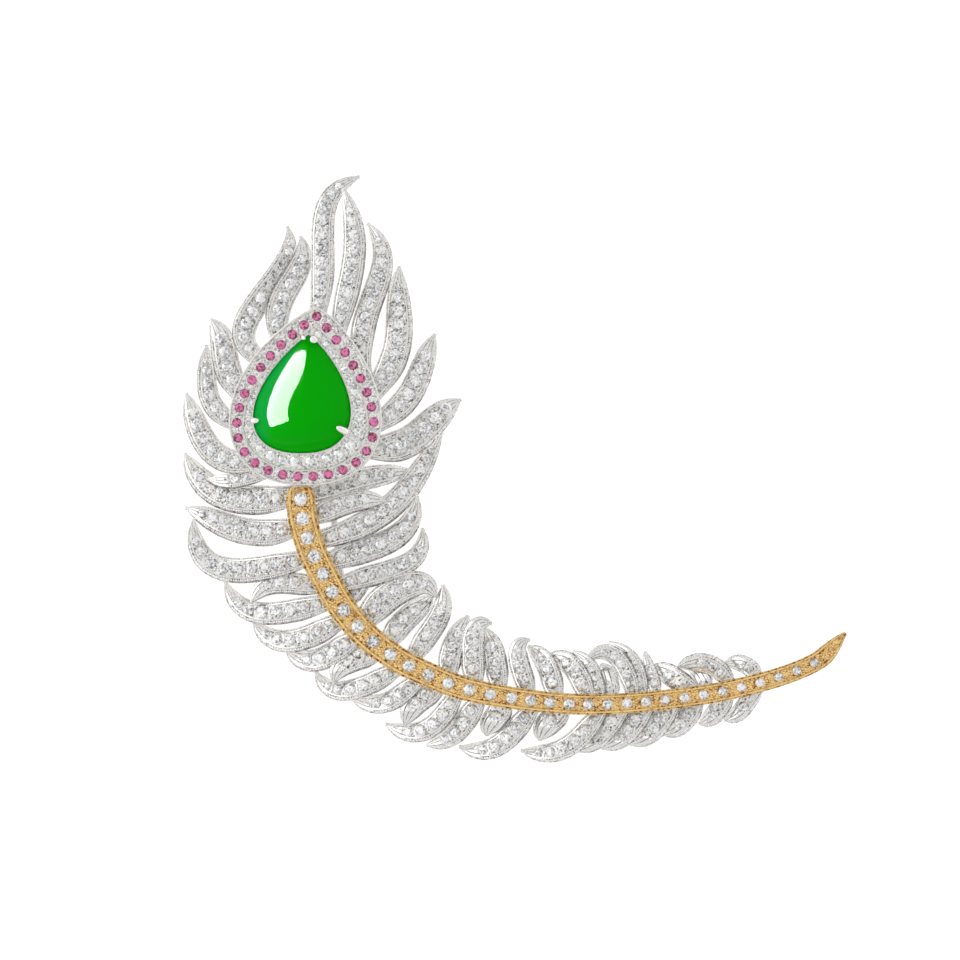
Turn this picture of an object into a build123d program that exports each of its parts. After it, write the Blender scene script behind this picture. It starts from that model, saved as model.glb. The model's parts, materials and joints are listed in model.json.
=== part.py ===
"""A feather brooch in white and yellow gold, with a jade cabochon, rubies and diamonds.

Millimetres. The brooch lies on its back: X runs to the right of its face, Y up its face and
Z out of it. The feather is laid out on a sheet of squares, then the finished brooch is moved
so that the origin is under the middle of its box, on the surface that it lies on.
"""

import math
import os
from collections import namedtuple

from build123d import *

# Layout and heights
SQUARE = 1.25  # one square of the layout sheet
SPINE_TOP = 4.9  # top of the white gold bar that carries the barbs, above the sheet
CLEARANCE = 0.05  # between a stone or a piece and its seat

# Barbs, the white gold blades of the feather
BARB_WIDTH = 3.1
BARB_THICKNESS = 0.95
BARB_ARCH = 0.22  # rise of a barb's face above its edges, at its own full width
BARB_DRAFT = 0.12  # a barb's face is this much narrower than its foot, on each side
BARB_ROLL = 12.0  # degrees that a barb's side towards the tail is raised
HALO_BARB_ROLL = 8.0
ROLL_GROWTH = 0.35  # the roll is full from this share of a barb's length
BARB_SINK = 0.1  # the barbs' roots stay this much under the top of the bar
ROOT_NARROWING = 0.72  # a barb's width at its root, as a share of its own width
ROOT_GROWTH = 0.3  # a barb has its own full width from this share of its length
TAPER_POWER = 6.5  # the larger, the later a barb narrows to its point
POINT_WIDTH = 0.4
POINT_THICKNESS = 0.5
FALL_POWER = 1.7  # the larger, the later a barb bends down towards its point
ROOT_PULL = 0.5  # how far a barb keeps the heading of its root, as a share of its reach
POINT_PULL = 0.42  # the same for the heading of its point
BARB_SECTIONS = (0.0, 0.15, 0.32, 0.5, 0.68, 0.83, 0.94, 1.0)
HALO_BARB_RISE = 0.6  # the halo's barbs leave it this much higher than the bar's
HALO_BARB_ROOT = 0.9  # their roots lie on the halo's outline made smaller to this share

# Quill, the yellow gold channel with its row of diamonds
QUILL_WIDTH = 3.75  # at its head, and the sizes below too
QUILL_HEIGHT = 1.75
QUILL_TAIL_HEIGHT = 1.35
QUILL_LEDGE = 0.34  # width of the low ledge outside each rail
QUILL_LEDGE_DROP = 0.55
QUILL_RAIL = 0.32  # width of a rail
QUILL_CHANNEL = 0.3  # depth of the channel between the rails
QUILL_FALL = 1.3  # how far the tail's point lies below the head
QUILL_CHANNEL_END = 0.955  # the channel ends and the plain tip begins at this share of the length
QUILL_TIP_WIDTH = 0.4
HEAD_DIAMOND = 1.85
TAIL_DIAMOND = 1.15

# Spine, the white gold bar under the quill
SPINE_WIDTH = 0.53  # as a share of the quill's width over it
SPINE_DEPTH = 2.2
SPINE_TAIL_DEPTH = 1.4
SPINE_IN_HALO = 1.4  # how far the bar reaches in under the halo
SPINE_END = 0.9  # share of the quill's length where the bar ends
BARB_START = 0.3  # the barbs' roots lie this share of the bar's width from its middle

# Eye, the jade in its halo of diamonds and rubies
HALO_TOP = 6.3
HALO_THICKNESS = 2.0
RAIL_HEIGHT = 0.25  # of the halo's rims above its face
HALO_RIM = 0.25  # width of the outer rim
INNER_RAIL = 0.2  # width of the rail inside the rubies
RUBY_DIAMETER = 1.25
RUBY_COUNT = 30
HALO_DIAMOND = 1.38  # the largest
HALO_DIAMOND_LEAST = 0.6  # no stone where there is room for less than this
HALO_DIAMOND_GAP = 0.14  # between two neighbours
COLLAR_WIDTH = 0.15  # plain rim round the jade
JADE_SEAT = 0.8  # depth of its seat
JADE_GIRDLE = 0.7
JADE_DOME = 3.4
DOME_POWER = 2.2  # the larger, the flatter the top of the dome
JADE_BACK = 0.5  # the opening behind the jade, as a share of its outline
PEAR_ARCS = 15

# Claws that hold the jade
CLAW_WIDTH = 1.0
CLAW_REACH = 1.05  # over the jade
CLAW_FOOT = 0.35  # outside the jade
CLAW_THICKNESS = 0.45
CLAW_TURNS = (0, 130, -117)  # degrees round the jade from its tip

# Cut stones, as shares of their diameter
STONE_SIDES = 8
STONE_TABLE = 0.57
STONE_CROWN = 0.16
STONE_GIRDLE = 0.04
STONE_PAVILION = 0.43
STONE_SINK = 0.1  # how deep the girdle lies in the seat
SEAT_DEPTH = 0.6

# Pin fitting behind the brooch
PIN_DIAMETER = 0.9
PIN_HEIGHT = 0.9  # middle of the stem above the sheet
POST_WIDTH = 2.0
POST_FOOT = 0.15  # how far a post reaches below the stem
HALO_POST = (31.2, 61.5)  # squares across and up
BAR_POST = 0.195  # share of the quill's length

# Quill's middle line, head to tail: squares across and squares up
QUILL_LINE = [
    (30.0, 47.3),
    (30.3, 44.1),
    (31.2, 41.0),
    (32.5, 38.3),
    (34.0, 35.6),
    (36.0, 33.1),
    (38.3, 31.1),
    (41.0, 29.4),
    (47.1, 27.0),
    (57.5, 25.6),
    (67.2, 26.1),
    (75.1, 27.5),
    (81.6, 29.8),
    (84.6, 32.7),
]

# A barb's root is at a share of the quill's length from its head, or, in the halo, at so many
# degrees round it, right of its tip or left where negative. Its point is so many squares
# across and up. It leaves the root and comes to the point at two headings in degrees, from
# right round by up. Its width is a share of BARB_WIDTH. Its root lies lower by a share of
# BARB_THICKNESS, and the underside of its point is at a share of the height of its root. Hold is
# how long it keeps the heading of its point.
Barb = namedtuple("Barb", "root across up leave arrive width sink point hold", defaults=[POINT_PULL])

HALO_BARBS = [
    Barb(-156, 20.7, 48.1, 190, 168, 0.65, 0.1, 0.6),
    Barb(-142, 18.5, 56.7, 186, 110, 1.05, 0.0, 0.3),
    Barb(-109, 20.5, 61.6, 152, 95, 0.85, 0.0, 0.1),
    Barb(-87, 20.9, 64.2, 128, 132, 1.10, 0.0, 0.3),
    Barb(-61, 28.6, 73.5, 148, 112, 1.00, 0.0, 0.0),
    Barb(-44, 30.0, 72.5, 106, 108, 1.02, 0.0, 0.3),
    Barb(2, 35.9, 78.5, 76, 19, 0.96, 0.0, 0.0),
    Barb(37, 34.3, 77.3, 77, 108, 0.98, 0.0, 0.5),
    Barb(73, 36.7, 73.8, 102, 130, 1.00, 0.0, 0.2, 0.42),
    Barb(87, 39.9, 69.5, 50, 83, 1.15, 0.0, 0.0),
    Barb(109, 43.5, 62.7, 31, 64, 1.06, 0.0, 0.2),
    Barb(127, 46.1, 56.1, 354, 28, 1.30, 0.0, 0.0),
]

LEFT_BARBS = [
    Barb(0.012, 18.3, 50.7, 190, 115, 1.22, 0.0, 0.0),
    Barb(0.055, 18.4, 45.2, 200, 163, 1.12, 0.0, 0.3, 0.3),
    Barb(0.104, 19.2, 44.1, 194, 90, 1.05, 0.0, 0.0, 0.55),
    Barb(0.151, 25.1, 35.7, 176, 245, 0.90, 0.0, 0.8),
    Barb(0.175, 22.4, 37.8, 195, 108, 0.95, 0.0, 0.0),
    Barb(0.204, 25.2, 33.8, 212, 125, 0.98, 0.0, 0.0),
    Barb(0.236, 28.5, 30.9, 218, 140, 0.98, 0.0, 0.0),
    Barb(0.275, 33.4, 27.7, 197, 262, 1.00, 0.0, 0.75),
    Barb(0.312, 31.5, 28.8, 213, 112, 0.88, 0.0, 0.0),
    Barb(0.345, 35.1, 26.0, 226, 160, 0.86, 0.0, 0.0),
    Barb(0.377, 40.5, 23.4, 215, 258, 1.00, 0.0, 0.6),
    Barb(0.402, 38.5, 23.5, 244, 150, 0.88, 0.0, 0.0, 0.5),
    Barb(0.436, 42.6, 21.3, 240, 195, 0.92, 0.0, 0.0),
    Barb(0.470, 48.7, 22.3, 258, 265, 1.02, 0.0, 0.6),
    Barb(0.516, 45.9, 21.2, 235, 161, 0.93, 0.0, 0.0),
    Barb(0.560, 54.0, 21.8, 230, 262, 1.05, 0.0, 0.6),
    Barb(0.615, 52.1, 20.8, 238, 168, 0.90, 0.0, 0.0),
    Barb(0.645, 57.5, 20.8, 232, 208, 1.00, 0.0, 0.0),
    Barb(0.682, 60.2, 21.0, 232, 208, 1.00, 0.0, 0.0),
    Barb(0.720, 63.0, 21.4, 235, 208, 1.00, 0.0, 0.0),
    Barb(0.757, 66.3, 22.4, 240, 205, 0.90, 0.0, 0.2),
    Barb(0.804, 70.0, 23.5, 232, 202, 0.82, 0.0, 0.2),
    Barb(0.850, 72.5, 23.9, 226, 194, 0.75, 0.0, 0.4),
]

RIGHT_BARBS = [
    Barb(0.015, 41.2, 48.9, 20, 6, 1.00, 1.1, 0.3),
    Barb(0.048, 38.6, 45.9, 22, 352, 0.95, 0.0, 0.8),
    Barb(0.084, 44.2, 52.8, 15, 60, 1.06, 0.0, 0.0, 0.42),
    Barb(0.120, 41.7, 46.4, 20, 84, 1.06, 0.0, 0.2),
    Barb(0.158, 42.2, 43.2, 20, 98, 0.90, 0.0, 0.2),
    Barb(0.188, 37.0, 39.2, 50, 55, 0.80, 0.6, 0.8),
    Barb(0.230, 43.5, 36.2, 60, 285, 1.25, 0.0, 0.6),
    Barb(0.277, 43.3, 36.4, 60, 42, 1.00, 0.0, 0.2),
    Barb(0.321, 44.3, 37.5, 60, 95, 0.92, 0.0, 0.4),
    Barb(0.384, 46.8, 34.4, 92, 66, 0.98, 0.0, 0.2),
    Barb(0.424, 49.2, 33.6, 92, 345, 1.00, 0.0, 0.6),
    Barb(0.462, 48.3, 33.2, 98, 120, 0.92, 0.0, 0.0),
    Barb(0.507, 53.0, 32.0, 105, 10, 0.85, 0.0, 0.6),
    Barb(0.548, 52.8, 31.3, 106, 146, 0.90, 0.0, 0.0),
    Barb(0.596, 54.8, 30.4, 111, 172, 0.92, 0.0, 0.3),
    Barb(0.613, 57.3, 30.8, 100, 150, 0.60, 0.0, 0.6),
    Barb(0.626, 60.2, 29.6, 95, 112, 0.92, 0.6, 0.4),
    Barb(0.661, 58.8, 29.9, 92, 228, 0.75, 0.0, 0.8, 0.55),
    Barb(0.675, 60.9, 31.7, 95, 150, 0.68, 0.0, 0.4),
    Barb(0.695, 64.6, 30.8, 92, 93, 0.55, 0.0, 0.4),
    Barb(0.754, 65.2, 29.3, 148, 160, 0.90, 0.0, 0.4),
    Barb(0.772, 69.0, 29.0, 120, 165, 0.80, 0.6, 0.4),
    Barb(0.808, 67.8, 29.2, 119, 204, 0.78, 0.0, 0.7),
    Barb(0.850, 72.6, 29.6, 122, 190, 0.70, 0.0, 0.5),
]

# Diamonds along the quill: so many, each so far on from the last, in shares of its length
DiamondRun = namedtuple("DiamondRun", "count gap")
QUILL_DIAMONDS = [
    DiamondRun(1, 0.0176),
    DiamondRun(5, 0.0291),
    DiamondRun(10, 0.0318),
    DiamondRun(16, 0.0284),
]

# Width of the quill, as a share of QUILL_WIDTH, at shares of its length
QuillWidth = namedtuple("QuillWidth", "at share")
QUILL_WIDTHS = [
    QuillWidth(0.0, 1.0),
    QuillWidth(0.2, 0.93),
    QuillWidth(0.54, 0.7),
    QuillWidth(0.85, 0.64),
    QuillWidth(0.955, 0.62),
    QuillWidth(1.0, 0.6),
]

# Pear-shaped outlines of the eye, tip up. Each half is as wide as share**sharp times
# (1 - share)**full down its length. Its tip is drop below the eye's, its middle line lies shift
# to the right, and the line bends to the right by bend towards the tip.
Pear = namedtuple("Pear", "length width sharp full drop shift bend easing")
EYE_TIP = (30.55, 64.7)  # squares across, without the bend, and up
HALO = Pear(22.3, 19.1, 0.78, 0.45, -0.7, 0.0, 1.45, 4.0)
RUBY_RING = Pear(20.0, 17.1, 0.95, 0.45, 0.45, 0.0, 1.45, 4.0)
JADE = Pear(14.7, 12.1, 0.88, 0.42, 2.8, -0.55, 1.0, 1.7)
INSET_AT_TIP = 1.3  # an outline drawn inside another lies this many times as far in at its tip


def on_sheet(across, up):
    """A place on the layout sheet, in millimetres."""
    return across * SQUARE, up * SQUARE


def smooth_line(places, steps=24):
    """Points along a smooth line through places. Each stretch is a cubic, and at a place the
    line runs along the chord between its two neighbours."""
    last = len(places) - 1
    lengths = [math.dist(places[i], places[i + 1]) for i in range(last)]
    slopes = []
    for i in range(last + 1):
        before, after = max(i - 1, 0), min(i + 1, last)
        run = sum(lengths[before:after])
        slopes.append([(places[after][k] - places[before][k]) / run for k in (0, 1)])
    points = [places[0]]
    for i in range(last):
        for step in range(1, steps + 1):
            t = step / steps
            start = 2 * t**3 - 3 * t**2 + 1
            out = (t**3 - 2 * t**2 + t) * lengths[i]
            into = (t**3 - t**2) * lengths[i]
            points.append(
                tuple(
                    start * places[i][k]
                    + (1 - start) * places[i + 1][k]
                    + out * slopes[i][k]
                    + into * slopes[i + 1][k]
                    for k in (0, 1)
                )
            )
    return points


def pull_line(start, leave, end, arrive, hold, steps=48):
    """Points along a cubic from start, left at one heading, to end, reached at another."""
    reach = math.dist(start, end)
    pulls = [start, start, end, end]
    for i, angle, pull in ((1, leave, ROOT_PULL), (2, arrive, -hold)):
        turn = math.radians(angle)
        pulls[i] = (
            pulls[i][0] + pull * reach * math.cos(turn),
            pulls[i][1] + pull * reach * math.sin(turn),
        )
    points = []
    for step in range(steps + 1):
        t = step / steps
        weights = ((1 - t) ** 3, 3 * t * (1 - t) ** 2, 3 * t**2 * (1 - t), t**3)
        points.append(tuple(sum(w * p[k] for w, p in zip(weights, pulls)) for k in (0, 1)))
    return points


def length_of(points):
    return sum(math.dist(a, b) for a, b in zip(points, points[1:]))


def walk(points, share):
    """The place at a share of a line's length, and the line's heading there in radians."""
    left = share * length_of(points)
    for a, b in zip(points, points[1:]):
        run = math.dist(a, b)
        if left <= run or b == points[-1]:
            part = left / run
            place = (a[0] + part * (b[0] - a[0]), a[1] + part * (b[1] - a[1]))
            return place, math.atan2(b[1] - a[1], b[0] - a[0])
        left -= run


def beside(place, heading, distance):
    """The place so far to the left of a heading."""
    return place[0] - distance * math.sin(heading), place[1] + distance * math.cos(heading)


def pear_place(pear, turn, scale=1.0):
    """The place at so many degrees round a pear from its tip, right first. A scale draws the
    pear smaller about the middle of its widest part."""
    down = (1 - math.cos(math.radians(turn))) / 2
    widest = pear.sharp / (pear.sharp + pear.full)
    half = (down / widest) ** pear.sharp * ((1 - down) / (1 - widest)) ** pear.full
    side = half * pear.width / 2 * (1 if turn % 360 < 180 else -1)
    tip = on_sheet(*EYE_TIP)
    across = tip[0] + pear.shift + scale * (side + pear.bend * (1 - down) ** pear.easing)
    up = tip[1] - pear.drop - pear.length * (widest + scale * (down - widest))
    return across, up


def pear_inset(pear, distance):
    """A pear drawn inside another, everywhere about so far from it."""
    at_tip = distance * INSET_AT_TIP
    return pear._replace(
        length=pear.length - distance - at_tip,
        width=pear.width - 2 * distance,
        drop=pear.drop + at_tip,
    )


def pear_line(pear, steps=120):
    return [pear_place(pear, 360 * i / steps) for i in range(steps)] + [pear_place(pear, 0)]


def quill_width(share):
    """The quill's width at a share of its length, straight between the rows of the table."""
    for a, b in zip(QUILL_WIDTHS, QUILL_WIDTHS[1:]):
        if share <= b.at:
            part = (share - a.at) / (b.at - a.at)
            return QUILL_WIDTH * (a.share + part * (b.share - a.share))
    return QUILL_WIDTH * QUILL_WIDTHS[-1].share


def spine_top(share):
    return SPINE_TOP - QUILL_FALL * share**2


def grown(t, share):
    """Rises smoothly from 0 at a line's start to 1 at a share of its length."""
    part = min(1.0, t / share)
    return part * part * (3 - 2 * part)


def barb_width(barb, t):
    """The width at a share of the barb's length: it grows from the root, then runs to a point."""
    root = ROOT_NARROWING + (1 - ROOT_NARROWING) * grown(t, ROOT_GROWTH)
    return max(POINT_WIDTH, barb.width * BARB_WIDTH * root * (1 - t**TAPER_POWER))


def barb_thickness(t):
    return BARB_THICKNESS + (POINT_THICKNESS - BARB_THICKNESS) * t**2


def barb_floor(barb, bar_top, t):
    """Height of the barb's underside, from its root below the bar's top to its point."""
    root = bar_top - BARB_SINK - BARB_ARCH - BARB_THICKNESS * (1 + barb.sink)
    return root * (1 - (1 - barb.point) * t**FALL_POWER)


def barbs_from_halo():
    """Each barb of the halo, the line it follows, the height of the bar's top for it and its
    roll: positive raises its left side."""
    for barb in HALO_BARBS:
        start = pear_place(HALO, barb.root, HALO_BARB_ROOT)
        end = on_sheet(barb.across, barb.up)
        line = pull_line(start, barb.leave, end, barb.arrive, barb.hold)
        yield barb, line, SPINE_TOP + HALO_BARB_RISE, -math.copysign(HALO_BARB_ROLL, barb.root)


def barbs_from_quill(quill_line):
    """The same for the barbs on both sides of the quill."""
    for side, table in ((-1, LEFT_BARBS), (1, RIGHT_BARBS)):
        for barb in table:
            place, heading = walk(quill_line, barb.root)
            offset = side * BARB_START * SPINE_WIDTH * quill_width(barb.root)
            start = beside(place, heading, offset)
            end = on_sheet(barb.across, barb.up)
            line = pull_line(start, barb.leave, end, barb.arrive, barb.hold)
            yield barb, line, spine_top(barb.root), -side * BARB_ROLL


def at_height(points, height):
    return [(x, y, height) for x, y in points]


def flat_face(outline):
    """The flat face inside a closed run of edges."""
    return make_face(Wire(outline))


def pear_face(pear, height, scale=1.0):
    """A flat pear of arcs. The middle of one arc is its lowest point, two arcs meet at its tip."""
    steps = 2 * PEAR_ARCS
    points = at_height([pear_place(pear, 360 * i / steps, scale) for i in range(steps)], height)
    points.append(points[0])
    arcs = [ThreePointArc(*points[i : i + 3]) for i in range(0, steps, 2)]
    return flat_face(arcs)


def across_line(place, heading, corners):
    """Points in the upright plane across a line, from pairs (left, up)."""
    across = (-math.sin(heading), math.cos(heading))
    return [(place[0] + u * across[0], place[1] + u * across[1], z) for u, z in corners]


def upright_face(place, heading, corners):
    points = across_line(place, heading, corners)
    return flat_face([Line(a, b) for a, b in zip(points, points[1:] + points[:1])])


def blade_face(place, heading, width, floor, thickness, roll=0.0):
    """A barb's section: flat below, its sides nearly upright, arched above, and rolled."""
    size = width / BARB_WIDTH
    half, face, middle = width / 2, width / 2 - BARB_DRAFT * size, thickness / 2
    corners = [(-face, middle), (0.0, middle + BARB_ARCH * size), (face, middle)]
    corners += [(half, -middle), (-half, -middle)]
    cos, sin = math.cos(math.radians(roll)), math.sin(math.radians(roll))
    rolled = [(u * cos - z * sin, floor + middle + u * sin + z * cos) for u, z in corners]
    points = across_line(place, heading, rolled)
    sides = [Line(a, b) for a, b in zip(points[2:], points[3:] + points[:1])]
    return flat_face([ThreePointArc(*points[:3]), *sides])


def make_barb(barb, line, bar_top, roll):
    sections = []
    for t in BARB_SECTIONS:
        place, heading = walk(line, t)
        floor = barb_floor(barb, bar_top, t)
        width, thickness = barb_width(barb, t), barb_thickness(t)
        turn = roll * grown(t, ROLL_GROWTH)
        sections.append(blade_face(place, heading, width, floor, thickness, turn))
    return loft(sections)


def make_spine(quill_line):
    """The bar, from a little way in under the halo to near the tail."""
    sections = []
    count = 12
    head, heading = walk(quill_line, 0.0)
    inner = (head[0] - SPINE_IN_HALO * math.cos(heading), head[1] - SPINE_IN_HALO * math.sin(heading))
    for i in range(count + 1):
        share = SPINE_END * i / count
        place, heading = walk(quill_line, share)
        if i == 0:
            place = inner
        half = SPINE_WIDTH * quill_width(share) / 2
        top = spine_top(share)
        floor = top - SPINE_DEPTH + (SPINE_DEPTH - SPINE_TAIL_DEPTH) * share
        corners = [(half, top), (half, floor), (-half, floor), (-half, top)]
        sections.append(upright_face(place, heading, corners))
    return loft(sections)


def quill_sizes(share):
    """Underside, height, width and the scale of the small sizes at a share of the length."""
    width = quill_width(share)
    height = QUILL_HEIGHT + (QUILL_TAIL_HEIGHT - QUILL_HEIGHT) * share
    return spine_top(share) + CLEARANCE, height, width, width / QUILL_WIDTH


def make_quill(quill_line):
    """The channel with its rails and outer ledges, and the plain tip behind it."""
    sections = []
    count = 14
    for i in range(count + 1):
        share = QUILL_CHANNEL_END * i / count
        place, heading = walk(quill_line, share)
        floor, height, width, scale = quill_sizes(share)
        rail_out = width / 2 - QUILL_LEDGE * scale
        rail_in = rail_out - QUILL_RAIL * scale
        ledge = floor + height - QUILL_LEDGE_DROP
        top = floor + height
        half = [(width / 2, floor), (width / 2, ledge), (rail_out, ledge), (rail_out, top)]
        half += [(rail_in, top), (rail_in, top - QUILL_CHANNEL)]
        corners = half + [(-u, z) for u, z in reversed(half)]
        sections.append(upright_face(place, heading, corners))
    channel = loft(sections)
    tips = []
    start = QUILL_CHANNEL_END - 0.015
    for share in (start, (start + 1) / 2, 1.0):
        place, heading = walk(quill_line, share)
        floor, height, width, scale = quill_sizes(share)
        part = (share - start) / (1 - start)
        width = width + part**2 * (QUILL_TIP_WIDTH - width)
        depth = (height - QUILL_LEDGE_DROP) * (1 - 0.4 * part)
        tips.append(blade_face(place, heading, width * 0.96, floor, depth))
    return channel.fuse(loft(tips))


def make_stone(diameter):
    """A cut stone: table, crown, girdle and pavilion, each in eight facets round the table."""
    low, high = 0.0, STONE_GIRDLE * diameter
    top, bottom = high + STONE_CROWN * diameter, -STONE_PAVILION * diameter
    rings = []
    radii = [(STONE_TABLE, top), (1.0, high), (1.0, low)]
    for share, height in radii:
        turns = [math.radians((i + 0.5) * 360 / STONE_SIDES) for i in range(STONE_SIDES)]
        radius = share * diameter / 2
        rings.append([(radius * math.cos(a), radius * math.sin(a), height) for a in turns])
    culet = (0.0, 0.0, bottom)
    polygons = [rings[0]]
    for i in range(STONE_SIDES):
        j = (i + 1) % STONE_SIDES
        for upper, lower in zip(rings, rings[1:]):
            polygons.append([upper[i], lower[i], lower[j], upper[j]])
        polygons.append([rings[-1][i], culet, rings[-1][j]])
    faces = [Face(Wire.make_polygon(points)) for points in polygons]
    return Solid(Shell(faces))


def make_seat(place, diameter, face):
    """What is drilled for a stone whose seat opens in a face at a height."""
    depth = SEAT_DEPTH * diameter
    radius = diameter / 2 + CLEARANCE
    return Pos(place[0], place[1], face - depth / 2 + 0.5) * Cylinder(radius, depth + 1)


def quill_stones(quill_line):
    """Place, heading, diameter and the height of the seat's face for each stone of the quill."""
    share = 0.0
    for run in QUILL_DIAMONDS:
        for _ in range(run.count):
            share += run.gap
            place, heading = walk(quill_line, share)
            diameter = HEAD_DIAMOND + (TAIL_DIAMOND - HEAD_DIAMOND) * share
            floor, height, _, _ = quill_sizes(share)
            yield place, heading, diameter, floor + height - QUILL_CHANNEL


def ruby_stones():
    line = pear_line(RUBY_RING)
    for i in range(RUBY_COUNT):
        place, heading = walk(line, i / RUBY_COUNT)
        yield place, heading, RUBY_DIAMETER, HALO_TOP


def claw_frame(turn):
    """A claw's place on the jade's outline and the heading out of the jade there."""
    place = pear_place(JADE, turn)
    before, after = pear_place(JADE, turn - 2), pear_place(JADE, turn + 2)
    heading = math.atan2(after[1] - before[1], after[0] - before[0]) + math.pi / 2
    return place, heading


def halo_stones():
    """Stones between the collar and the inner rail, each as large as there is room for."""
    collar = pear_line(pear_inset(JADE, -COLLAR_WIDTH - CLEARANCE))
    rail = pear_line(pear_inset(RUBY_RING, RUBY_DIAMETER / 2 + CLEARANCE + INNER_RAIL))
    last = None
    first = None
    for place in collar:
        other = min(rail, key=lambda q: math.dist(place, q))
        room = min(HALO_DIAMOND, math.dist(place, other) - 2 * CLEARANCE)
        middle = ((place[0] + other[0]) / 2, (place[1] + other[1]) / 2)
        if room < HALO_DIAMOND_LEAST or near_claw(middle, room):
            continue
        ends = [stone for stone in (first, last) if stone]
        if any(math.dist(middle, p) < (room + d) / 2 + HALO_DIAMOND_GAP for p, d in ends):
            continue
        last = (middle, room)
        first = first or last
        heading = math.atan2(other[1] - place[1], other[0] - place[0])
        yield middle, heading, room, HALO_TOP


def near_claw(place, diameter):
    """Whether a stone would come against the foot of a claw."""
    for turn in CLAW_TURNS:
        foot, heading = claw_frame(turn)
        east, north = place[0] - foot[0], place[1] - foot[1]
        out = east * math.cos(heading) + north * math.sin(heading)
        along = abs(north * math.cos(heading) - east * math.sin(heading))
        touches = out - diameter / 2 < CLAW_FOOT + CLEARANCE
        if touches and along < (CLAW_WIDTH + diameter) / 2 + CLEARANCE and out > 0:
            return True
    return False


def make_claw(turn):
    """A claw from its foot in the halo's face up and over the jade. The jade is cut out later."""
    place, heading = claw_frame(turn)
    centre = pear_place(JADE, turn, 0.0)
    scale = 1 - CLAW_REACH / math.dist(place, centre)
    rise = JADE_DOME * (1 - scale**DOME_POWER)
    profile = [
        (CLAW_FOOT, -0.4),
        (CLAW_FOOT, 0.4),
        (0.05, 0.9),
        (-CLAW_REACH * 0.8, rise + CLAW_THICKNESS),
        (-CLAW_REACH, rise + 0.5 * CLAW_THICKNESS),
        (-CLAW_REACH, rise - 0.4),
        (-0.3, -0.4),
    ]
    plane = Plane(
        origin=(place[0], place[1], HALO_TOP),
        x_dir=(math.cos(heading), math.sin(heading), 0),
        z_dir=(math.sin(heading), -math.cos(heading), 0),
    )
    face = flat_face(Polyline(*profile, close=True).edges())
    return extrude(plane * face, amount=CLAW_WIDTH / 2, both=True)


def make_jade(growth=0.0):
    """The cabochon, or, grown, the room that its seat and claws leave for it."""
    pear = pear_inset(JADE, -growth)
    floor = HALO_TOP - JADE_SEAT + CLEARANCE - growth
    girdle = floor + JADE_GIRDLE + growth
    base = extrude(pear_face(pear, floor), amount=girdle - floor)
    sections = []
    for scale in (1.0, 0.95, 0.86, 0.72, 0.52, 0.3, 0.12):
        height = (JADE_DOME + growth) * (1 - scale**DOME_POWER)
        sections.append(pear_face(pear, girdle + height, scale))
    return base.fuse(loft(sections))


def make_halo():
    """The halo's plate with its outer rim, its inner rail and the collar round the jade."""
    plate = extrude(pear_face(HALO, HALO_TOP - HALO_THICKNESS), amount=HALO_THICKNESS + RAIL_HEIGHT)
    ruby_room = RUBY_DIAMETER / 2 + CLEARANCE
    edges = [
        pear_inset(HALO, HALO_RIM),
        pear_inset(RUBY_RING, ruby_room),
        pear_inset(RUBY_RING, ruby_room + INNER_RAIL),
        pear_inset(JADE, -COLLAR_WIDTH - CLEARANCE),
    ]
    for outer, inner in (edges[:2], edges[2:]):
        field = extrude(pear_face(outer, HALO_TOP), amount=1) - extrude(pear_face(inner, HALO_TOP), amount=1)
        plate = plate - field
    return plate


def make_pin(quill_line):
    """Two posts that nearly reach the brooch's back, and the stem between them."""
    foot = PIN_HEIGHT - PIN_DIAMETER / 2 - POST_FOOT
    bar_place, _ = walk(quill_line, BAR_POST)
    bar_floor = spine_top(BAR_POST) - SPINE_DEPTH + (SPINE_DEPTH - SPINE_TAIL_DEPTH) * BAR_POST
    posts = []
    ends = []
    for place, ceiling, width in (
        (on_sheet(*HALO_POST), HALO_TOP - HALO_THICKNESS, POST_WIDTH),
        (bar_place, bar_floor, SPINE_WIDTH * quill_width(BAR_POST)),
    ):
        height = ceiling - CLEARANCE - foot
        posts.append(Pos(place[0], place[1], foot + height / 2) * Box(width, width, height))
        ends.append(Vector(place[0], place[1], PIN_HEIGHT))
    along = ends[1] - ends[0]
    stem = Plane(origin=ends[0], z_dir=along) * Cylinder(
        PIN_DIAMETER / 2, along.length, align=(Align.CENTER, Align.CENTER, Align.MIN)
    )
    return posts[0].fuse(posts[1], stem)


def place_stones(stones):
    """Cut stones in their seats."""
    placed = []
    for place, heading, diameter, face in stones:
        height = face - STONE_SINK * diameter
        turn = math.degrees(heading)
        placed.append(Location((place[0], place[1], height), (0, 0, turn)) * make_stone(diameter))
    return placed


quill_line = smooth_line([on_sheet(*place) for place in QUILL_LINE])
barbs = [make_barb(*row) for row in barbs_from_halo()]
barbs += [make_barb(*row) for row in barbs_from_quill(quill_line)]
body = make_spine(quill_line).fuse(make_halo(), *barbs, *[make_claw(turn) for turn in CLAW_TURNS])

back = extrude(pear_face(JADE, 0, JADE_BACK), amount=HALO_TOP)
rubies = list(ruby_stones())
halo_diamonds = list(halo_stones())
seats = [make_seat(place, diameter, face) for place, _, diameter, face in rubies + halo_diamonds]
frame = body.cut(make_jade(CLEARANCE), back, *seats)

diamonds = list(quill_stones(quill_line))
quill_seats = [make_seat(place, diameter, face) for place, _, diameter, face in diamonds]
quill = make_quill(quill_line).cut(*quill_seats)

pieces = {
    "frame": frame,
    "quill": quill,
    "jade_cabochon": make_jade(),
    "quill_diamonds": Compound(place_stones(diamonds)),
    "halo_diamonds": Compound(place_stones(halo_diamonds)),
    "pin_fitting": make_pin(quill_line),
}
for number, ruby in enumerate(place_stones(rubies), 1):
    pieces[f"ruby_{number:02d}"] = ruby

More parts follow.
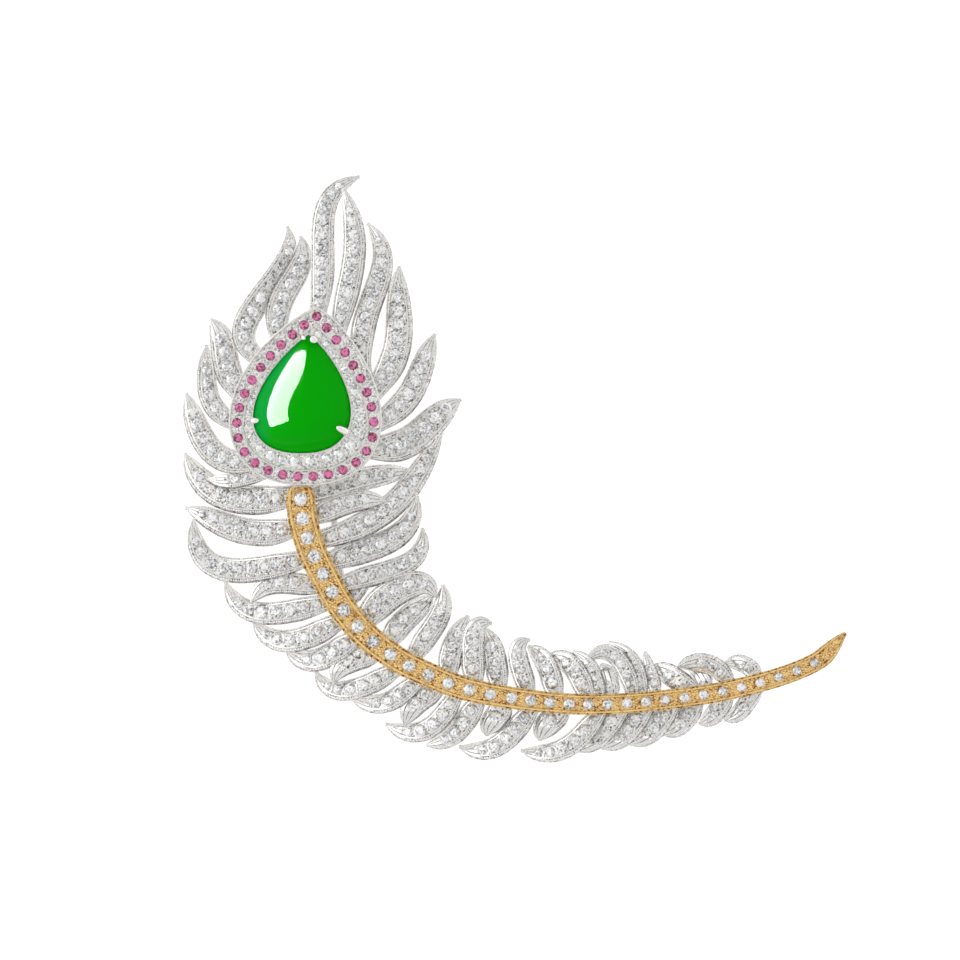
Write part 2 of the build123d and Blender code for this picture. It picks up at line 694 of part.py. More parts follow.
boxes = [piece.bounding_box() for piece in pieces.values()]
low = [min(getattr(box.min, axis) for box in boxes) for axis in "XYZ"]
high = [max(getattr(box.max, axis) for box in boxes) for axis in "XYZ"]
to_origin = Pos(-(low[0] + high[0]) / 2, -(low[1] + high[1]) / 2, -low[2])

os.makedirs("parts", exist_ok=True)
for name, piece in pieces.items():
    solids = len(piece.solids())
    print(name, solids, "solid" if solids == 1 else "solids", round(piece.volume, 2), "mm3")
    export_step(to_origin * piece, f"parts/{name}.step")
print("size", [round(b - a, 2) for a, b in zip(low, high)])
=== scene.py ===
# %% [markdown]
# # A feather brooch
# A jeweller saws and bends such a feather from gold, sets its stones and raises small grains of
# metal to hold them. It lies here on its back on a pale floor, and the camera looks straight
# down on it. It could be drawn by hand with curves and modifiers. Here each surface is a formula
# worked out on whole numpy arrays instead: a blade along a cubic, a profile carried round a
# pear, a dome. Then all that sits on a barb follows from the barb's row of numbers. Small things
# are one shape copied to many places. Lengths are in millimetres on the layout sheet and become
# metres when a mesh is made.

# %% Imports and the frame
import json
from collections import namedtuple

import bpy
import numpy as np
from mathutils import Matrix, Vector

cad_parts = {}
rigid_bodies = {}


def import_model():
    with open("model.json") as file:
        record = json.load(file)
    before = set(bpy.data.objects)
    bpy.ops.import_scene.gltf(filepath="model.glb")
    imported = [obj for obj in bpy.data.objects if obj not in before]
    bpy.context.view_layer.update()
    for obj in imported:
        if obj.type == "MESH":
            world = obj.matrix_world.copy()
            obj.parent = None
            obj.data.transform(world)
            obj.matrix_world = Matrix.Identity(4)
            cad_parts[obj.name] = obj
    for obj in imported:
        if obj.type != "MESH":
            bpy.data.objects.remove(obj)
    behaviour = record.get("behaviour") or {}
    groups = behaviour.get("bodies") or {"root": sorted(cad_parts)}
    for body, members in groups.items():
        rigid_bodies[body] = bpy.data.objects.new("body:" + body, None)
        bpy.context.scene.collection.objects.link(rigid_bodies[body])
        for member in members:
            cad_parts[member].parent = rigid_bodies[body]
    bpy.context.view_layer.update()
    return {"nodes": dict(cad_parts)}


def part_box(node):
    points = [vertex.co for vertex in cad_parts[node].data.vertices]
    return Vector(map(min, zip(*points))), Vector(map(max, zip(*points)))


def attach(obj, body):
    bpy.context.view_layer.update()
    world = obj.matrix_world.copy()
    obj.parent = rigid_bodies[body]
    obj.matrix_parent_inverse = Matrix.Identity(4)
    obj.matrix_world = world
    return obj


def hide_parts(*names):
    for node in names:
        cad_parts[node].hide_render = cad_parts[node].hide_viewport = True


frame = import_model()
print("pieces in the frame:", len(frame["nodes"]))

# %% [markdown]
# ## Sizes
# The solids under these surfaces are drawn from the same sizes, so what is dressed here fits
# them. They could be measured on the frame's meshes, but a named size says what it is for.
# Heights are above the floor, and shares are of a length or a width that the name gives.

# %% Sizes of the sheet and the barbs
SQUARE = 1.25  # one square of the layout sheet
MM = 0.001
SPINE_TOP = 4.9  # upper face of the bar at the quill's head
CLEARANCE = 0.05  # room between two solids that meet

BARB_WIDTH = 3.1
BARB_THICKNESS = 0.95
BARB_ARCH = 0.22  # how far a full barb's face rises to its middle
BARB_DRAFT = 0.12  # the foot is wider than the face by this on each side
BARB_ROLL = 12.0  # degrees that a barb leans to one side
HALO_BARB_ROLL = 8.0
ROLL_GROWTH = 0.35  # the share of a barb over which it comes to lean
BARB_SINK = 0.1  # a root's face lies so far below the bar's
ROOT_NARROWING = 0.72  # width of a root, as a share of the barb's
ROOT_GROWTH = 0.3  # the share of a barb over which it gets its full width
TAPER_POWER = 6.5  # the higher, the later a barb narrows
POINT_WIDTH = 0.4
POINT_THICKNESS = 0.5
FALL_POWER = 1.7  # over 1, a barb falls more and more towards its point
ROOT_PULL = 0.5  # how long a barb keeps its first heading
POINT_PULL = 0.42  # and its last one, where its row says nothing else
HALO_BARB_RISE = 0.6  # roots in the halo lie higher than roots at the quill
HALO_BARB_ROOT = 0.9  # they lie on the halo's outline drawn at this scale
BARB_STEPS = 73  # places along a barb
print("a full barb is", BARB_WIDTH, "mm wide and", BARB_THICKNESS, "mm thick")

# %% Sizes of the quill and of the bar under it
QUILL_WIDTH = 3.75
QUILL_HEIGHT = 1.75
QUILL_TAIL_HEIGHT = 1.35
QUILL_LEDGE = 0.34  # width of the low ledge on each side
QUILL_LEDGE_DROP = 0.55  # from the rail's top down to the ledge
QUILL_RAIL = 0.32
QUILL_CHANNEL = 0.3  # from the rail's top down to the channel's floor
QUILL_FALL = 1.3  # from its head to its tail
QUILL_CHANNEL_END = 0.955  # the tip starts at this share of the length
QUILL_TIP_WIDTH = 0.4
HEAD_DIAMOND = 1.85
TAIL_DIAMOND = 1.15
SPINE_WIDTH = 0.53  # the bar's, as a share of the quill's
SPINE_DEPTH = 2.2
SPINE_TAIL_DEPTH = 1.4
SPINE_IN_HALO = 1.4  # length of the bar inside the halo
SPINE_END = 0.9  # the bar ends at this share of the quill
BARB_START = 0.3  # roots lie off the bar's middle by this share of its width
print("the quill is", QUILL_WIDTH, "mm wide at its head")

# %% Sizes of the eye
HALO_TOP = 6.3  # face of the halo's plate
HALO_THICKNESS = 2.0
RAIL_HEIGHT = 0.25  # all rims rise so far above the plate
HALO_RIM = 0.25
INNER_RAIL = 0.2
RUBY_DIAMETER = 1.25
RUBY_COUNT = 30
HALO_DIAMOND = 1.38  # the largest of the diamonds round the jade
HALO_DIAMOND_LEAST = 0.6
HALO_DIAMOND_GAP = 0.14
COLLAR_WIDTH = 0.15
JADE_SEAT = 0.8  # from the plate's face down to the jade's seat
JADE_GIRDLE = 0.7  # height of the jade's upright edge
DOME_POWER = 2.2  # over 2, the dome is fuller than a parabola
CLAW_WIDTH = 1.0  # kept free of stones at a claw's foot
CLAW_FOOT = 0.35  # how far a claw's foot stands off the jade
CLAW_TURNS = (0, 130, -117)  # where the solid has its claws, in degrees from the jade's tip
print(RUBY_COUNT, "rubies of", RUBY_DIAMETER, "mm")

# %% [markdown]
# ## Tables
# A feather has no two barbs alike, so each has a row that says where it starts and ends, how it
# heads and how wide it is. Such rows could come from curves drawn by hand. As a table they can
# be read and mended one by one. Places are in squares of the layout sheet.

# %% The quill's line and the barbs
# Quill's middle line, head to tail: squares across and squares up
QUILL_LINE = [
    (30.0, 47.3),
    (30.3, 44.1),
    (31.2, 41.0),
    (32.5, 38.3),
    (34.0, 35.6),
    (36.0, 33.1),
    (38.3, 31.1),
    (41.0, 29.4),
    (47.1, 27.0),
    (57.5, 25.6),
    (67.2, 26.1),
    (75.1, 27.5),
    (81.6, 29.8),
    (84.6, 32.7),
]

# A barb's root is at a share of the quill's length from its head, or, in the halo, at so many
# degrees round it, right of its tip or left where negative. Its point is so many squares
# across and up. It leaves the root and comes to the point at two headings in degrees, from
# right round by up. Its width is a share of BARB_WIDTH. Its root lies lower by a share of
# BARB_THICKNESS, and the underside of its point is at a share of the height of its root. Hold is
# how long it keeps the heading of its point.
BARB_COLUMNS = "root across up leave arrive width sink point hold"
Barb = namedtuple("Barb", BARB_COLUMNS, defaults=[POINT_PULL])

HALO_BARBS = [
    Barb(-156, 20.7, 48.1, 190, 168, 0.65, 0.1, 0.6),
    Barb(-142, 18.5, 56.7, 186, 110, 1.05, 0.0, 0.3),
    Barb(-109, 20.5, 61.6, 152, 95, 0.85, 0.0, 0.1),
    Barb(-87, 20.9, 64.2, 128, 132, 1.10, 0.0, 0.3),
    Barb(-61, 28.6, 73.5, 148, 112, 1.00, 0.0, 0.0),
    Barb(-44, 30.0, 72.5, 106, 108, 1.02, 0.0, 0.3),
    Barb(2, 35.9, 78.5, 76, 19, 0.96, 0.0, 0.0),
    Barb(37, 34.3, 77.3, 77, 108, 0.98, 0.0, 0.5),
    Barb(73, 36.7, 73.8, 102, 130, 1.00, 0.0, 0.2, 0.42),
    Barb(87, 39.9, 69.5, 50, 83, 1.15, 0.0, 0.0),
    Barb(109, 43.5, 62.7, 31, 64, 1.06, 0.0, 0.2),
    Barb(127, 46.1, 56.1, 354, 28, 1.30, 0.0, 0.0),
]

LEFT_BARBS = [
    Barb(0.012, 18.3, 50.7, 190, 115, 1.22, 0.0, 0.0),
    Barb(0.055, 18.4, 45.2, 200, 163, 1.12, 0.0, 0.3, 0.3),
    Barb(0.104, 19.2, 44.1, 194, 90, 1.05, 0.0, 0.0, 0.55),
    Barb(0.151, 25.1, 35.7, 176, 245, 0.90, 0.0, 0.8),
    Barb(0.175, 22.4, 37.8, 195, 108, 0.95, 0.0, 0.0),
    Barb(0.204, 25.2, 33.8, 212, 125, 0.98, 0.0, 0.0),
    Barb(0.236, 28.5, 30.9, 218, 140, 0.98, 0.0, 0.0),
    Barb(0.275, 33.4, 27.7, 197, 262, 1.00, 0.0, 0.75),
    Barb(0.312, 31.5, 28.8, 213, 112, 0.88, 0.0, 0.0),
    Barb(0.345, 35.1, 26.0, 226, 160, 0.86, 0.0, 0.0),
    Barb(0.377, 40.5, 23.4, 215, 258, 1.00, 0.0, 0.6),
    Barb(0.402, 38.5, 23.5, 244, 150, 0.88, 0.0, 0.0, 0.5),
    Barb(0.436, 42.6, 21.3, 240, 195, 0.92, 0.0, 0.0),
    Barb(0.470, 48.7, 22.3, 258, 265, 1.02, 0.0, 0.6),
    Barb(0.516, 45.9, 21.2, 235, 161, 0.93, 0.0, 0.0),
    Barb(0.560, 54.0, 21.8, 230, 262, 1.05, 0.0, 0.6),
    Barb(0.615, 52.1, 20.8, 238, 168, 0.90, 0.0, 0.0),
    Barb(0.645, 57.5, 20.8, 232, 208, 1.00, 0.0, 0.0),
    Barb(0.682, 60.2, 21.0, 232, 208, 1.00, 0.0, 0.0),
    Barb(0.720, 63.0, 21.4, 235, 208, 1.00, 0.0, 0.0),
    Barb(0.757, 66.3, 22.4, 240, 205, 0.90, 0.0, 0.2),
    Barb(0.804, 70.0, 23.5, 232, 202, 0.82, 0.0, 0.2),
    Barb(0.850, 72.5, 23.9, 226, 194, 0.75, 0.0, 0.4),
]

RIGHT_BARBS = [
    Barb(0.015, 41.2, 48.9, 20, 6, 1.00, 1.1, 0.3),
    Barb(0.048, 38.6, 45.9, 22, 352, 0.95, 0.0, 0.8),
    Barb(0.084, 44.2, 52.8, 15, 60, 1.06, 0.0, 0.0, 0.42),
    Barb(0.120, 41.7, 46.4, 20, 84, 1.06, 0.0, 0.2),
    Barb(0.158, 42.2, 43.2, 20, 98, 0.90, 0.0, 0.2),
    Barb(0.188, 37.0, 39.2, 50, 55, 0.80, 0.6, 0.8),
    Barb(0.230, 43.5, 36.2, 60, 285, 1.25, 0.0, 0.6),
    Barb(0.277, 43.3, 36.4, 60, 42, 1.00, 0.0, 0.2),
    Barb(0.321, 44.3, 37.5, 60, 95, 0.92, 0.0, 0.4),
    Barb(0.384, 46.8, 34.4, 92, 66, 0.98, 0.0, 0.2),
    Barb(0.424, 49.2, 33.6, 92, 345, 1.00, 0.0, 0.6),
    Barb(0.462, 48.3, 33.2, 98, 120, 0.92, 0.0, 0.0),
    Barb(0.507, 53.0, 32.0, 105, 10, 0.85, 0.0, 0.6),
    Barb(0.548, 52.8, 31.3, 106, 146, 0.90, 0.0, 0.0),
    Barb(0.596, 54.8, 30.4, 111, 172, 0.92, 0.0, 0.3),
    Barb(0.613, 57.3, 30.8, 100, 150, 0.60, 0.0, 0.6),
    Barb(0.626, 60.2, 29.6, 95, 112, 0.92, 0.6, 0.4),
    Barb(0.661, 58.8, 29.9, 92, 228, 0.75, 0.0, 0.8, 0.55),
    Barb(0.675, 60.9, 31.7, 95, 150, 0.68, 0.0, 0.4),
    Barb(0.695, 64.6, 30.8, 92, 93, 0.55, 0.0, 0.4),
    Barb(0.754, 65.2, 29.3, 148, 160, 0.90, 0.0, 0.4),
    Barb(0.772, 69.0, 29.0, 120, 165, 0.80, 0.6, 0.4),
    Barb(0.808, 67.8, 29.2, 119, 204, 0.78, 0.0, 0.7),
    Barb(0.850, 72.6, 29.6, 122, 190, 0.70, 0.0, 0.5),
]
print(len(HALO_BARBS), len(LEFT_BARBS), len(RIGHT_BARBS), "barbs in the halo, left and right")

# %% The quill's diamonds and its width
# Diamonds along the quill: so many, each so far on from the last, in shares of its length
DiamondRun = namedtuple("DiamondRun", "count gap")
QUILL_DIAMONDS = [
    DiamondRun(1, 0.0176),
    DiamondRun(5, 0.0291),
    DiamondRun(10, 0.0318),
    DiamondRun(16, 0.0284),
]

# Width of the quill, as a share of QUILL_WIDTH, at shares of its length
QuillWidth = namedtuple("QuillWidth", "at share")
QUILL_WIDTHS = [
    QuillWidth(0.0, 1.0),
    QuillWidth(0.2, 0.93),
    QuillWidth(0.54, 0.7),
    QuillWidth(0.85, 0.64),
    QuillWidth(0.955, 0.62),
    QuillWidth(1.0, 0.6),
]

print(sum(run.count for run in QUILL_DIAMONDS), "diamonds along the quill")

# %% Outlines of the eye
# Pear-shaped outlines of the eye, tip up. Each half is as wide as share**sharp times
# (1 - share)**full down its length. Its tip is drop below the eye's, its middle line lies shift
# to the right, and the line bends to the right by bend towards the tip.
Pear = namedtuple("Pear", "length width sharp full drop shift bend easing")
EYE_TIP = (30.55, 64.7)  # squares across, without the bend, and up
HALO = Pear(22.3, 19.1, 0.78, 0.45, -0.7, 0.0, 1.45, 4.0)
RUBY_RING = Pear(20.0, 17.1, 0.95, 0.45, 0.45, 0.0, 1.45, 4.0)
JADE = Pear(14.7, 12.1, 0.88, 0.42, 2.8, -0.55, 1.0, 1.7)
INSET_AT_TIP = 1.3  # an outline drawn inside another lies this many times as far in at its tip
print("the halo is", HALO.length, "by", HALO.width, "mm, the jade", JADE.length, "by", JADE.width)

# %% [markdown]
# ## Lines
# The quill sweeps down and to the right in one bend, and each barb leaves it in a bend of its
# own. Blender's curve objects could draw both. Here a line is an array of places: it is made
# fine first and then walked by shares of its length, so that widths, heights and stones follow
# the length and not the curve's own parameter.

# %% Smooth lines
def smoothly(t):
    """Rises from 0 to 1 as three t squared less two t cubed, and stays level outside."""
    t = np.clip(t, 0.0, 1.0)
    return t * t * (3.0 - 2.0 * t)


def smooth_line(places, steps=24):
    """A cubic for each stretch between two places; at a place the slope is the chord between
    its neighbours over the run to them."""
    places = np.asarray(places, float)
    runs = np.linalg.norm(np.diff(places, axis=0), axis=1)
    before = np.clip(np.arange(len(places)) - 1, 0, None)
    after = np.clip(np.arange(len(places)) + 1, None, len(places) - 1)
    way = np.concatenate([[0.0], np.cumsum(runs)])
    slopes = (places[after] - places[before]) / (way[after] - way[before])[:, None]
    t = np.arange(steps)[:, None] / steps
    start = 2 * t**3 - 3 * t**2 + 1
    pieces = [
        start * places[i]
        + (1 - start) * places[i + 1]
        + (t**3 - 2 * t**2 + t) * runs[i] * slopes[i]
        + (t**3 - t**2) * runs[i] * slopes[i + 1]
        for i in range(len(runs))
    ]
    return np.concatenate(pieces + [places[-1:]])


def pull_line(start, leave, end, arrive, hold, steps=120):
    """A cubic from start to end whose two inner points lie along its first and last headings."""
    reach = np.linalg.norm(end - start)
    first = start + ROOT_PULL * reach * np.array([np.cos(leave), np.sin(leave)])
    second = end - hold * reach * np.array([np.cos(arrive), np.sin(arrive)])
    t = np.linspace(0, 1, steps)[:, None]
    inner = 3 * t * (1 - t) ** 2 * first + 3 * t**2 * (1 - t) * second
    return (1 - t) ** 3 * start + inner + t**3 * end


quill_line = smooth_line(np.array(QUILL_LINE) * SQUARE)
print(len(quill_line), "places on the quill's line")


# %% Walking a line
def walk(line, shares):
    """Places and unit headings at shares of a line's length."""
    way = np.concatenate([[0.0], np.cumsum(np.linalg.norm(np.diff(line, axis=0), axis=1))])
    at = np.clip(shares, 0.0, 1.0) * way[-1]
    place = np.stack([np.interp(at, way, line[:, k]) for k in range(line.shape[1])], -1)
    slope = np.gradient(line, way, axis=0)
    ahead = np.stack([np.interp(at, way, slope[:, k]) for k in range(line.shape[1])], -1)
    return place, ahead / np.linalg.norm(ahead, axis=-1, keepdims=True)


def length_of(line):
    """The sum of a line's steps."""
    return float(np.linalg.norm(np.diff(line, axis=0), axis=1).sum())


def left_of(ahead):
    """A heading turned a quarter turn to the left."""
    return np.stack([-ahead[..., 1], ahead[..., 0]], -1)


print("the quill is", round(length_of(quill_line), 1), "mm long")


# %% Pears
def pear_place(pear, turn, scale=1.0):
    """Places on a pear at turns in degrees from its tip, right first. Each half is as wide as
    down**sharp times (1 - down)**full, where down is (1 - cos turn) / 2."""
    down = (1 - np.cos(np.radians(turn))) / 2
    widest = pear.sharp / (pear.sharp + pear.full)
    half = (down / widest) ** pear.sharp * ((1 - down) / (1 - widest)) ** pear.full
    side = half * pear.width / 2 * np.where(np.mod(turn, 360) < 180, 1, -1)
    bend = pear.bend * (1 - down) ** pear.easing
    across = EYE_TIP[0] * SQUARE + pear.shift + scale * (side + bend)
    up = EYE_TIP[1] * SQUARE - pear.drop - pear.length * (widest + scale * (down - widest))
    return np.stack([across, up], -1)


def pear_inset(pear, distance):
    """A pear drawn inside another, everywhere about so far from it."""
    at_tip = distance * INSET_AT_TIP
    return pear._replace(
        length=pear.length - distance - at_tip,
        width=pear.width - 2 * distance,
        drop=pear.drop + at_tip,
    )


turns = np.linspace(0, 360, 361)
jade_edge = pear_place(JADE, turns)
print("the jade's outline spans", np.ptp(jade_edge, axis=0).round(2), "mm")

# %% The sheet's place in the frame
low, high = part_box("jade_cabochon")
middle = (jade_edge.min(0) + jade_edge.max(0)) / 2
shift = np.array([(low[0] + high[0]) / 2, (low[1] + high[1]) / 2]) / MM - middle
lift = low[2] / MM - (HALO_TOP - JADE_SEAT + CLEARANCE)
SHEET_TO_FRAME = np.array([shift[0], shift[1], lift])
print("the sheet is moved by", SHEET_TO_FRAME.round(2), "mm")

# %% [markdown]
# ## Meshes
# Sheet, wire and rims of metal are grids of places that become quads, and stones and grains are
# a small shape copied to many places at once. Instances on points could do the same. Whole
# arrays handed over with foreach_set keep each group one plain mesh, which rides with the
# brooch and can be taken out as it is.

# %% From places to an object
SHARP_FROM = np.radians(32)  # edges that turn more than this stay sharp


def add_mesh(name, points, faces, material, smooth=False, **layers):
    """One object from places on the sheet in millimetres and a list of face arrays, each with
    one row per face. layers are numbers for each place that the material can read."""
    mesh = bpy.data.meshes.new(name)
    loops = np.concatenate([f.ravel() for f in faces])
    sizes = np.concatenate([np.full(len(f), f.shape[1]) for f in faces])
    starts = np.concatenate([[0], np.cumsum(sizes)[:-1]])
    mesh.vertices.add(len(points))
    mesh.vertices.foreach_set("co", ((points + SHEET_TO_FRAME) * MM).astype(np.float32).ravel())
    mesh.loops.add(len(loops))
    mesh.loops.foreach_set("vertex_index", loops.astype(np.int32))
    mesh.polygons.add(len(sizes))
    mesh.polygons.foreach_set("loop_start", starts.astype(np.int32))
    mesh.polygons.foreach_set("use_smooth", np.full(len(sizes), smooth))
    for layer_name, numbers in layers.items():
        layer = mesh.attributes.new(layer_name, "FLOAT", "POINT")
        layer.data.foreach_set("value", np.asarray(numbers, np.float32))
    mesh.update(calc_edges=True)
    if smooth:
        mesh.set_sharp_from_angle(angle=SHARP_FROM)
    mesh.materials.append(material)
    piece = bpy.data.objects.new(name, mesh)
    bpy.context.scene.collection.objects.link(piece)
    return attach(piece, "root")


def grid_faces(count_u, count_v, wrap_u=False, wrap_v=False, first=0):
    """Quads between neighbours of a grid whose places are numbered along v, then along u."""
    u = np.arange(count_u if wrap_u else count_u - 1)
    v = np.arange(count_v if wrap_v else count_v - 1)
    a, b = np.meshgrid(u, v, indexing="ij")
    c, d = (a + 1) % count_u, (b + 1) % count_v
    quads = np.stack([a * count_v + b, c * count_v + b, c * count_v + d, a * count_v + d], -1)
    return quads.reshape(-1, 4) + first


def tube_faces(count, along, around):
    """Quads and end caps of so many closed tubes of one size, numbered one after another."""
    firsts = [number * along * around for number in range(count)]
    quads = [grid_faces(along, around, wrap_v=True, first=first) for first in firsts]
    ends = np.stack([np.arange(around)[::-1], (along - 1) * around + np.arange(around)])
    return [np.concatenate(quads), np.concatenate([ends + first for first in firsts])]


print("a tube of 3 by 4 places has", sum(map(len, tube_faces(1, 3, 4))), "faces")


# %% A brilliant, a grain and their copies
def copies(shape, places, axes, sizes):
    """A small shape at many places: each corner is the place plus the size times the corner
    carried by that place's three axes. Returns places and faces."""
    corners, faces = shape
    points = places[:, None, :] + sizes[:, None, None] * np.einsum("vk,nkj->nvj", corners, axes)
    offsets = np.arange(len(places))[:, None, None] * len(corners)
    return points.reshape(-1, 3), [(f[None] + offsets).reshape(-1, f.shape[1]) for f in faces]


def ring(count, radius, height, turn=0.0):
    """Places on a level circle, evenly round it and turned by a share of a step."""
    angle = 2 * np.pi * (np.arange(count) + turn) / count
    return np.stack([radius * np.cos(angle), radius * np.sin(angle), np.full(count, height)], -1)


def brilliant():
    """A cut stone of diameter 1 whose girdle is at height 0: table, 8 star, 8 kite and 16 upper
    facets, and 16 below that meet at the culet."""
    table = ring(8, radius=0.285, height=0.16)
    star = ring(8, radius=0.4, height=0.1, turn=0.5)
    girdle = ring(16, radius=0.5, height=0.0)
    culet = [[0.0, 0.0, -0.43]]
    points = np.concatenate([table, star, girdle, culet])
    i = np.arange(8)
    j = (i + 1) % 8
    g = 16 + 2 * i
    stars = np.stack([i, 8 + i, j], -1)
    kites = np.stack([i, 8 + (i - 1) % 8, g, 8 + i], -1)
    upper = np.concatenate([
        np.stack([8 + i, g, g + 1], -1),
        np.stack([8 + i, g + 1, 16 + (2 * i + 2) % 16], -1),
    ])
    k = np.arange(16)
    lower = np.stack([np.full(16, 32), 16 + (k + 1) % 16, 16 + k], -1)
    return points, [np.arange(8)[None], stars, kites, upper, lower]


def bead(sides=6):
    """A grain of metal of diameter 1: a ring at its foot, a ring half way up and a top."""
    foot = ring(sides, radius=0.5, height=-0.1)
    waist = ring(sides, radius=0.38, height=0.28, turn=0.5)
    points = np.concatenate([foot, waist, [[0, 0, 0.48]]])
    i = np.arange(sides)
    j = (i + 1) % sides
    skirt = np.concatenate([
        np.stack([i, j, sides + i], -1),
        np.stack([j, sides + j, sides + i], -1),
    ])
    cap = np.stack([sides + i, sides + j, np.full(sides, 2 * sides)], -1)
    return points, [skirt, cap]


STONE, GRAIN = brilliant(), bead()
print("a stone has", sum(map(len, STONE[1])), "facets, a grain", sum(map(len, GRAIN[1])))

# %% [markdown]
# ## Materials
# Polished white gold is bright on top and dark in its cuts, yellow gold is orange in its
# recesses, and cut stones flash. That dark, that orange and those flashes are painted shade and
# painted light in the base colour, as they could be painted on a picture. Here they are worked
# out from the place on the piece, in object coordinates, and from the numbers that its mesh
# carries, so they stay sharp at any distance. A shader's arithmetic is written as arithmetic: a
# Term is a socket, and its operators add the nodes.

# %% A socket that arithmetic works on
MIX_FIRST, MIX_SECOND, MIX_RESULT = 6, 7, 2  # numbers of a Mix node's colours and their result


class Term:
    """A socket of a material that sums and products can be written with."""

    def __init__(self, tree, socket):
        self.tree, self.socket = tree, socket

    def node(self, kind, output=0, inputs=(), **settings):
        """Adds any other node: its settings first, then its inputs, which are pairs of a
        socket's name or number and a Term or a value."""
        node = self.tree.nodes.new(kind)
        for name, value in settings.items():
            setattr(node, name, value)
        for name, value in inputs:
            if isinstance(value, Term):
                self.tree.links.new(value.socket, node.inputs[name])
            else:
                node.inputs[name].default_value = value
        return Term(self.tree, node.outputs[output])

    def math(self, operation, *others):
        """Adds a Math node on this and other numbers."""
        return self.node("ShaderNodeMath", inputs=enumerate((self, *others)), operation=operation)

    def __add__(self, other):
        return self.math("ADD", other)

    __radd__ = __add__

    def __mul__(self, other):
        return self.math("MULTIPLY", other)

    __rmul__ = __mul__

    def __sub__(self, other):
        return self.math("SUBTRACT", other)

    def __rsub__(self, other):
        return (self * -1.0).math("ADD", other)

    def __abs__(self):
        return self.math("ABSOLUTE")

    def clamped(self):
        """Kept between 0 and 1."""
        return self.math("MAXIMUM", 0.0).math("MINIMUM", 1.0)

    def noise(self, scale, detail=2.0):
        """Cloudy noise of about that many features a metre, 0 to 1, at this place."""
        inputs = [("Vector", self), ("Scale", scale), ("Detail", detail)]
        return self.node("ShaderNodeTexNoise", "Fac", inputs)

    def blend(self, first, second):
        """A colour between two by this amount, as a Mix node works it out."""
        inputs = [(0, self), (MIX_FIRST, (*first, 1)), (MIX_SECOND, (*second, 1))]
        return self.node("ShaderNodeMix", MIX_RESULT, inputs, data_type="RGBA")

    def shards(self, scale):
        """Random numbers, 0 to 1, one for each small cell, so many cells a metre."""
        return self.node("ShaderNodeTexVoronoi", "Color", [("Vector", self), ("Scale", scale)])

    def bump(self, height, strength, distance):
        """A normal bent by a height."""
        inputs = [("Height", height), ("Strength", strength), ("Distance", distance)]
        return self.node("ShaderNodeBump", "Normal", inputs)


print("a Term has", len([name for name in vars(Term) if not name.startswith("__")]), "methods")


# %% A material from constants and a function
def new_material(name, constants, vary):
    """A Principled material: constants go on its own sockets, and vary is given the place and a
    reader of the mesh's numbers, and returns the sockets that follow them."""
    material = bpy.data.materials.new(name)
    material.use_nodes = True
    tree = material.node_tree
    shader = tree.nodes["Principled BSDF"]
    for socket, value in constants.items():
        shader.inputs[socket].default_value = value
    place = Term(tree, tree.nodes.new("ShaderNodeTexCoord").outputs["Object"])

    def carried(layer):
        return place.node("ShaderNodeAttribute", "Fac", attribute_name=layer)

    for socket, term in vary(place, carried).items():
        tree.links.new(term.socket, shader.inputs[socket])
    return material


METAL = {"Metallic": 1.0}
print("a metal starts from", METAL)

# %% [markdown]
# ## The metals' finish and painted shade
# A setter cuts white gold bright between the stones, and the cuts throw light to all sides. Fine
# geometry could show each cut. Random cells of tone a quarter of a millimetre wide give the same
# flicker at this distance as painted shade in the recesses, and the numbers on the mesh say
# where the cuts are deep and how much painted shade goes there; the walls get it all over.

# %% Looks of the metals
CLOUDS, SCRATCHES = 900.0, 4000.0  # soft clouds and fine scratches a metre
# Cell sizes: painted shade in the recesses of white and of yellow gold, and random grit
SHADE_CELL_SCALE, GRIT, GOLD_SHADE_CELL_SCALE = 4200.0, 5600.0, 3600.0  # small cells of tone a metre
SOFT_BUMP = 0.00002  # metres
CUT_DEPTH = 0.00006
# Bright colours, and the dark colours that painted shade in recesses and on walls reaches
WHITE_GOLD, WHITE_GOLD_DARK = (0.9, 0.885, 0.86), (0.1, 0.095, 0.095)
YELLOW_GOLD, YELLOW_GOLD_DARK = (1.0, 0.745, 0.34), (0.3, 0.1, 0.012)


def white_gold_look(place, carried):
    """Bright where it is polished. In the recesses, which are cut all over, small random cells get
    painted shade, for the small cuts that face away from the light. The walls and the deepest
    recesses get painted shade all over. A tone under 0 stands for the back, which is smooth.
    Engraved lines run at 0, a half and 1 across: a bump sinks them, and their darkness is painted
    shade."""
    recess = carried("tone").clamped()
    front = (carried("tone") * 2.0 + 1.0).clamped()
    cloud = place.noise(CLOUDS)
    # Painted shade: random cells in the recesses, for small cuts that face away from the light
    shaded_cells = ((place.shards(SHADE_CELL_SCALE) - 0.5) * 2.6).clamped()
    lines = abs(abs(carried("across")) - 0.5) * 2.0
    # The engraved lines' darkness is painted shade in their grooves
    cut = (1.2 - (abs(lines - 1.0).math("MINIMUM", lines)) * 8.0).clamped() * carried("engraved")
    grit = place.shards(GRIT) - 0.45
    # Painted shade all over the walls and the deepest recesses
    deep = (recess - 0.75).clamped() * 1.8
    shade = (recess * shaded_cells + deep + (cloud - 0.5) * 0.2 + grit * front * 0.55 + cut * 0.8).clamped()
    return {
        "Base Color": shade.blend(WHITE_GOLD, WHITE_GOLD_DARK),
        "Roughness": 0.16 + recess * 0.2 + cloud * 0.08,
        "Normal": place.bump(cut * -1.0 + place.noise(SCRATCHES) * 0.05, 0.5, CUT_DEPTH),
    }


def plain_metal_look(bright, dull, rough):
    """One metal between two colours: the mesh's tone and soft clouds say how dull it is."""

    def look(place, carried):
        cloud = place.noise(CLOUDS)
        shade = (carried("tone") + (cloud - 0.5) * 0.3).clamped()
        return {
            "Base Color": shade.blend(bright, dull),
            "Roughness": rough + cloud * 0.1,
            "Normal": place.bump(place.noise(SCRATCHES), 0.15, SOFT_BUMP),
        }

    return look


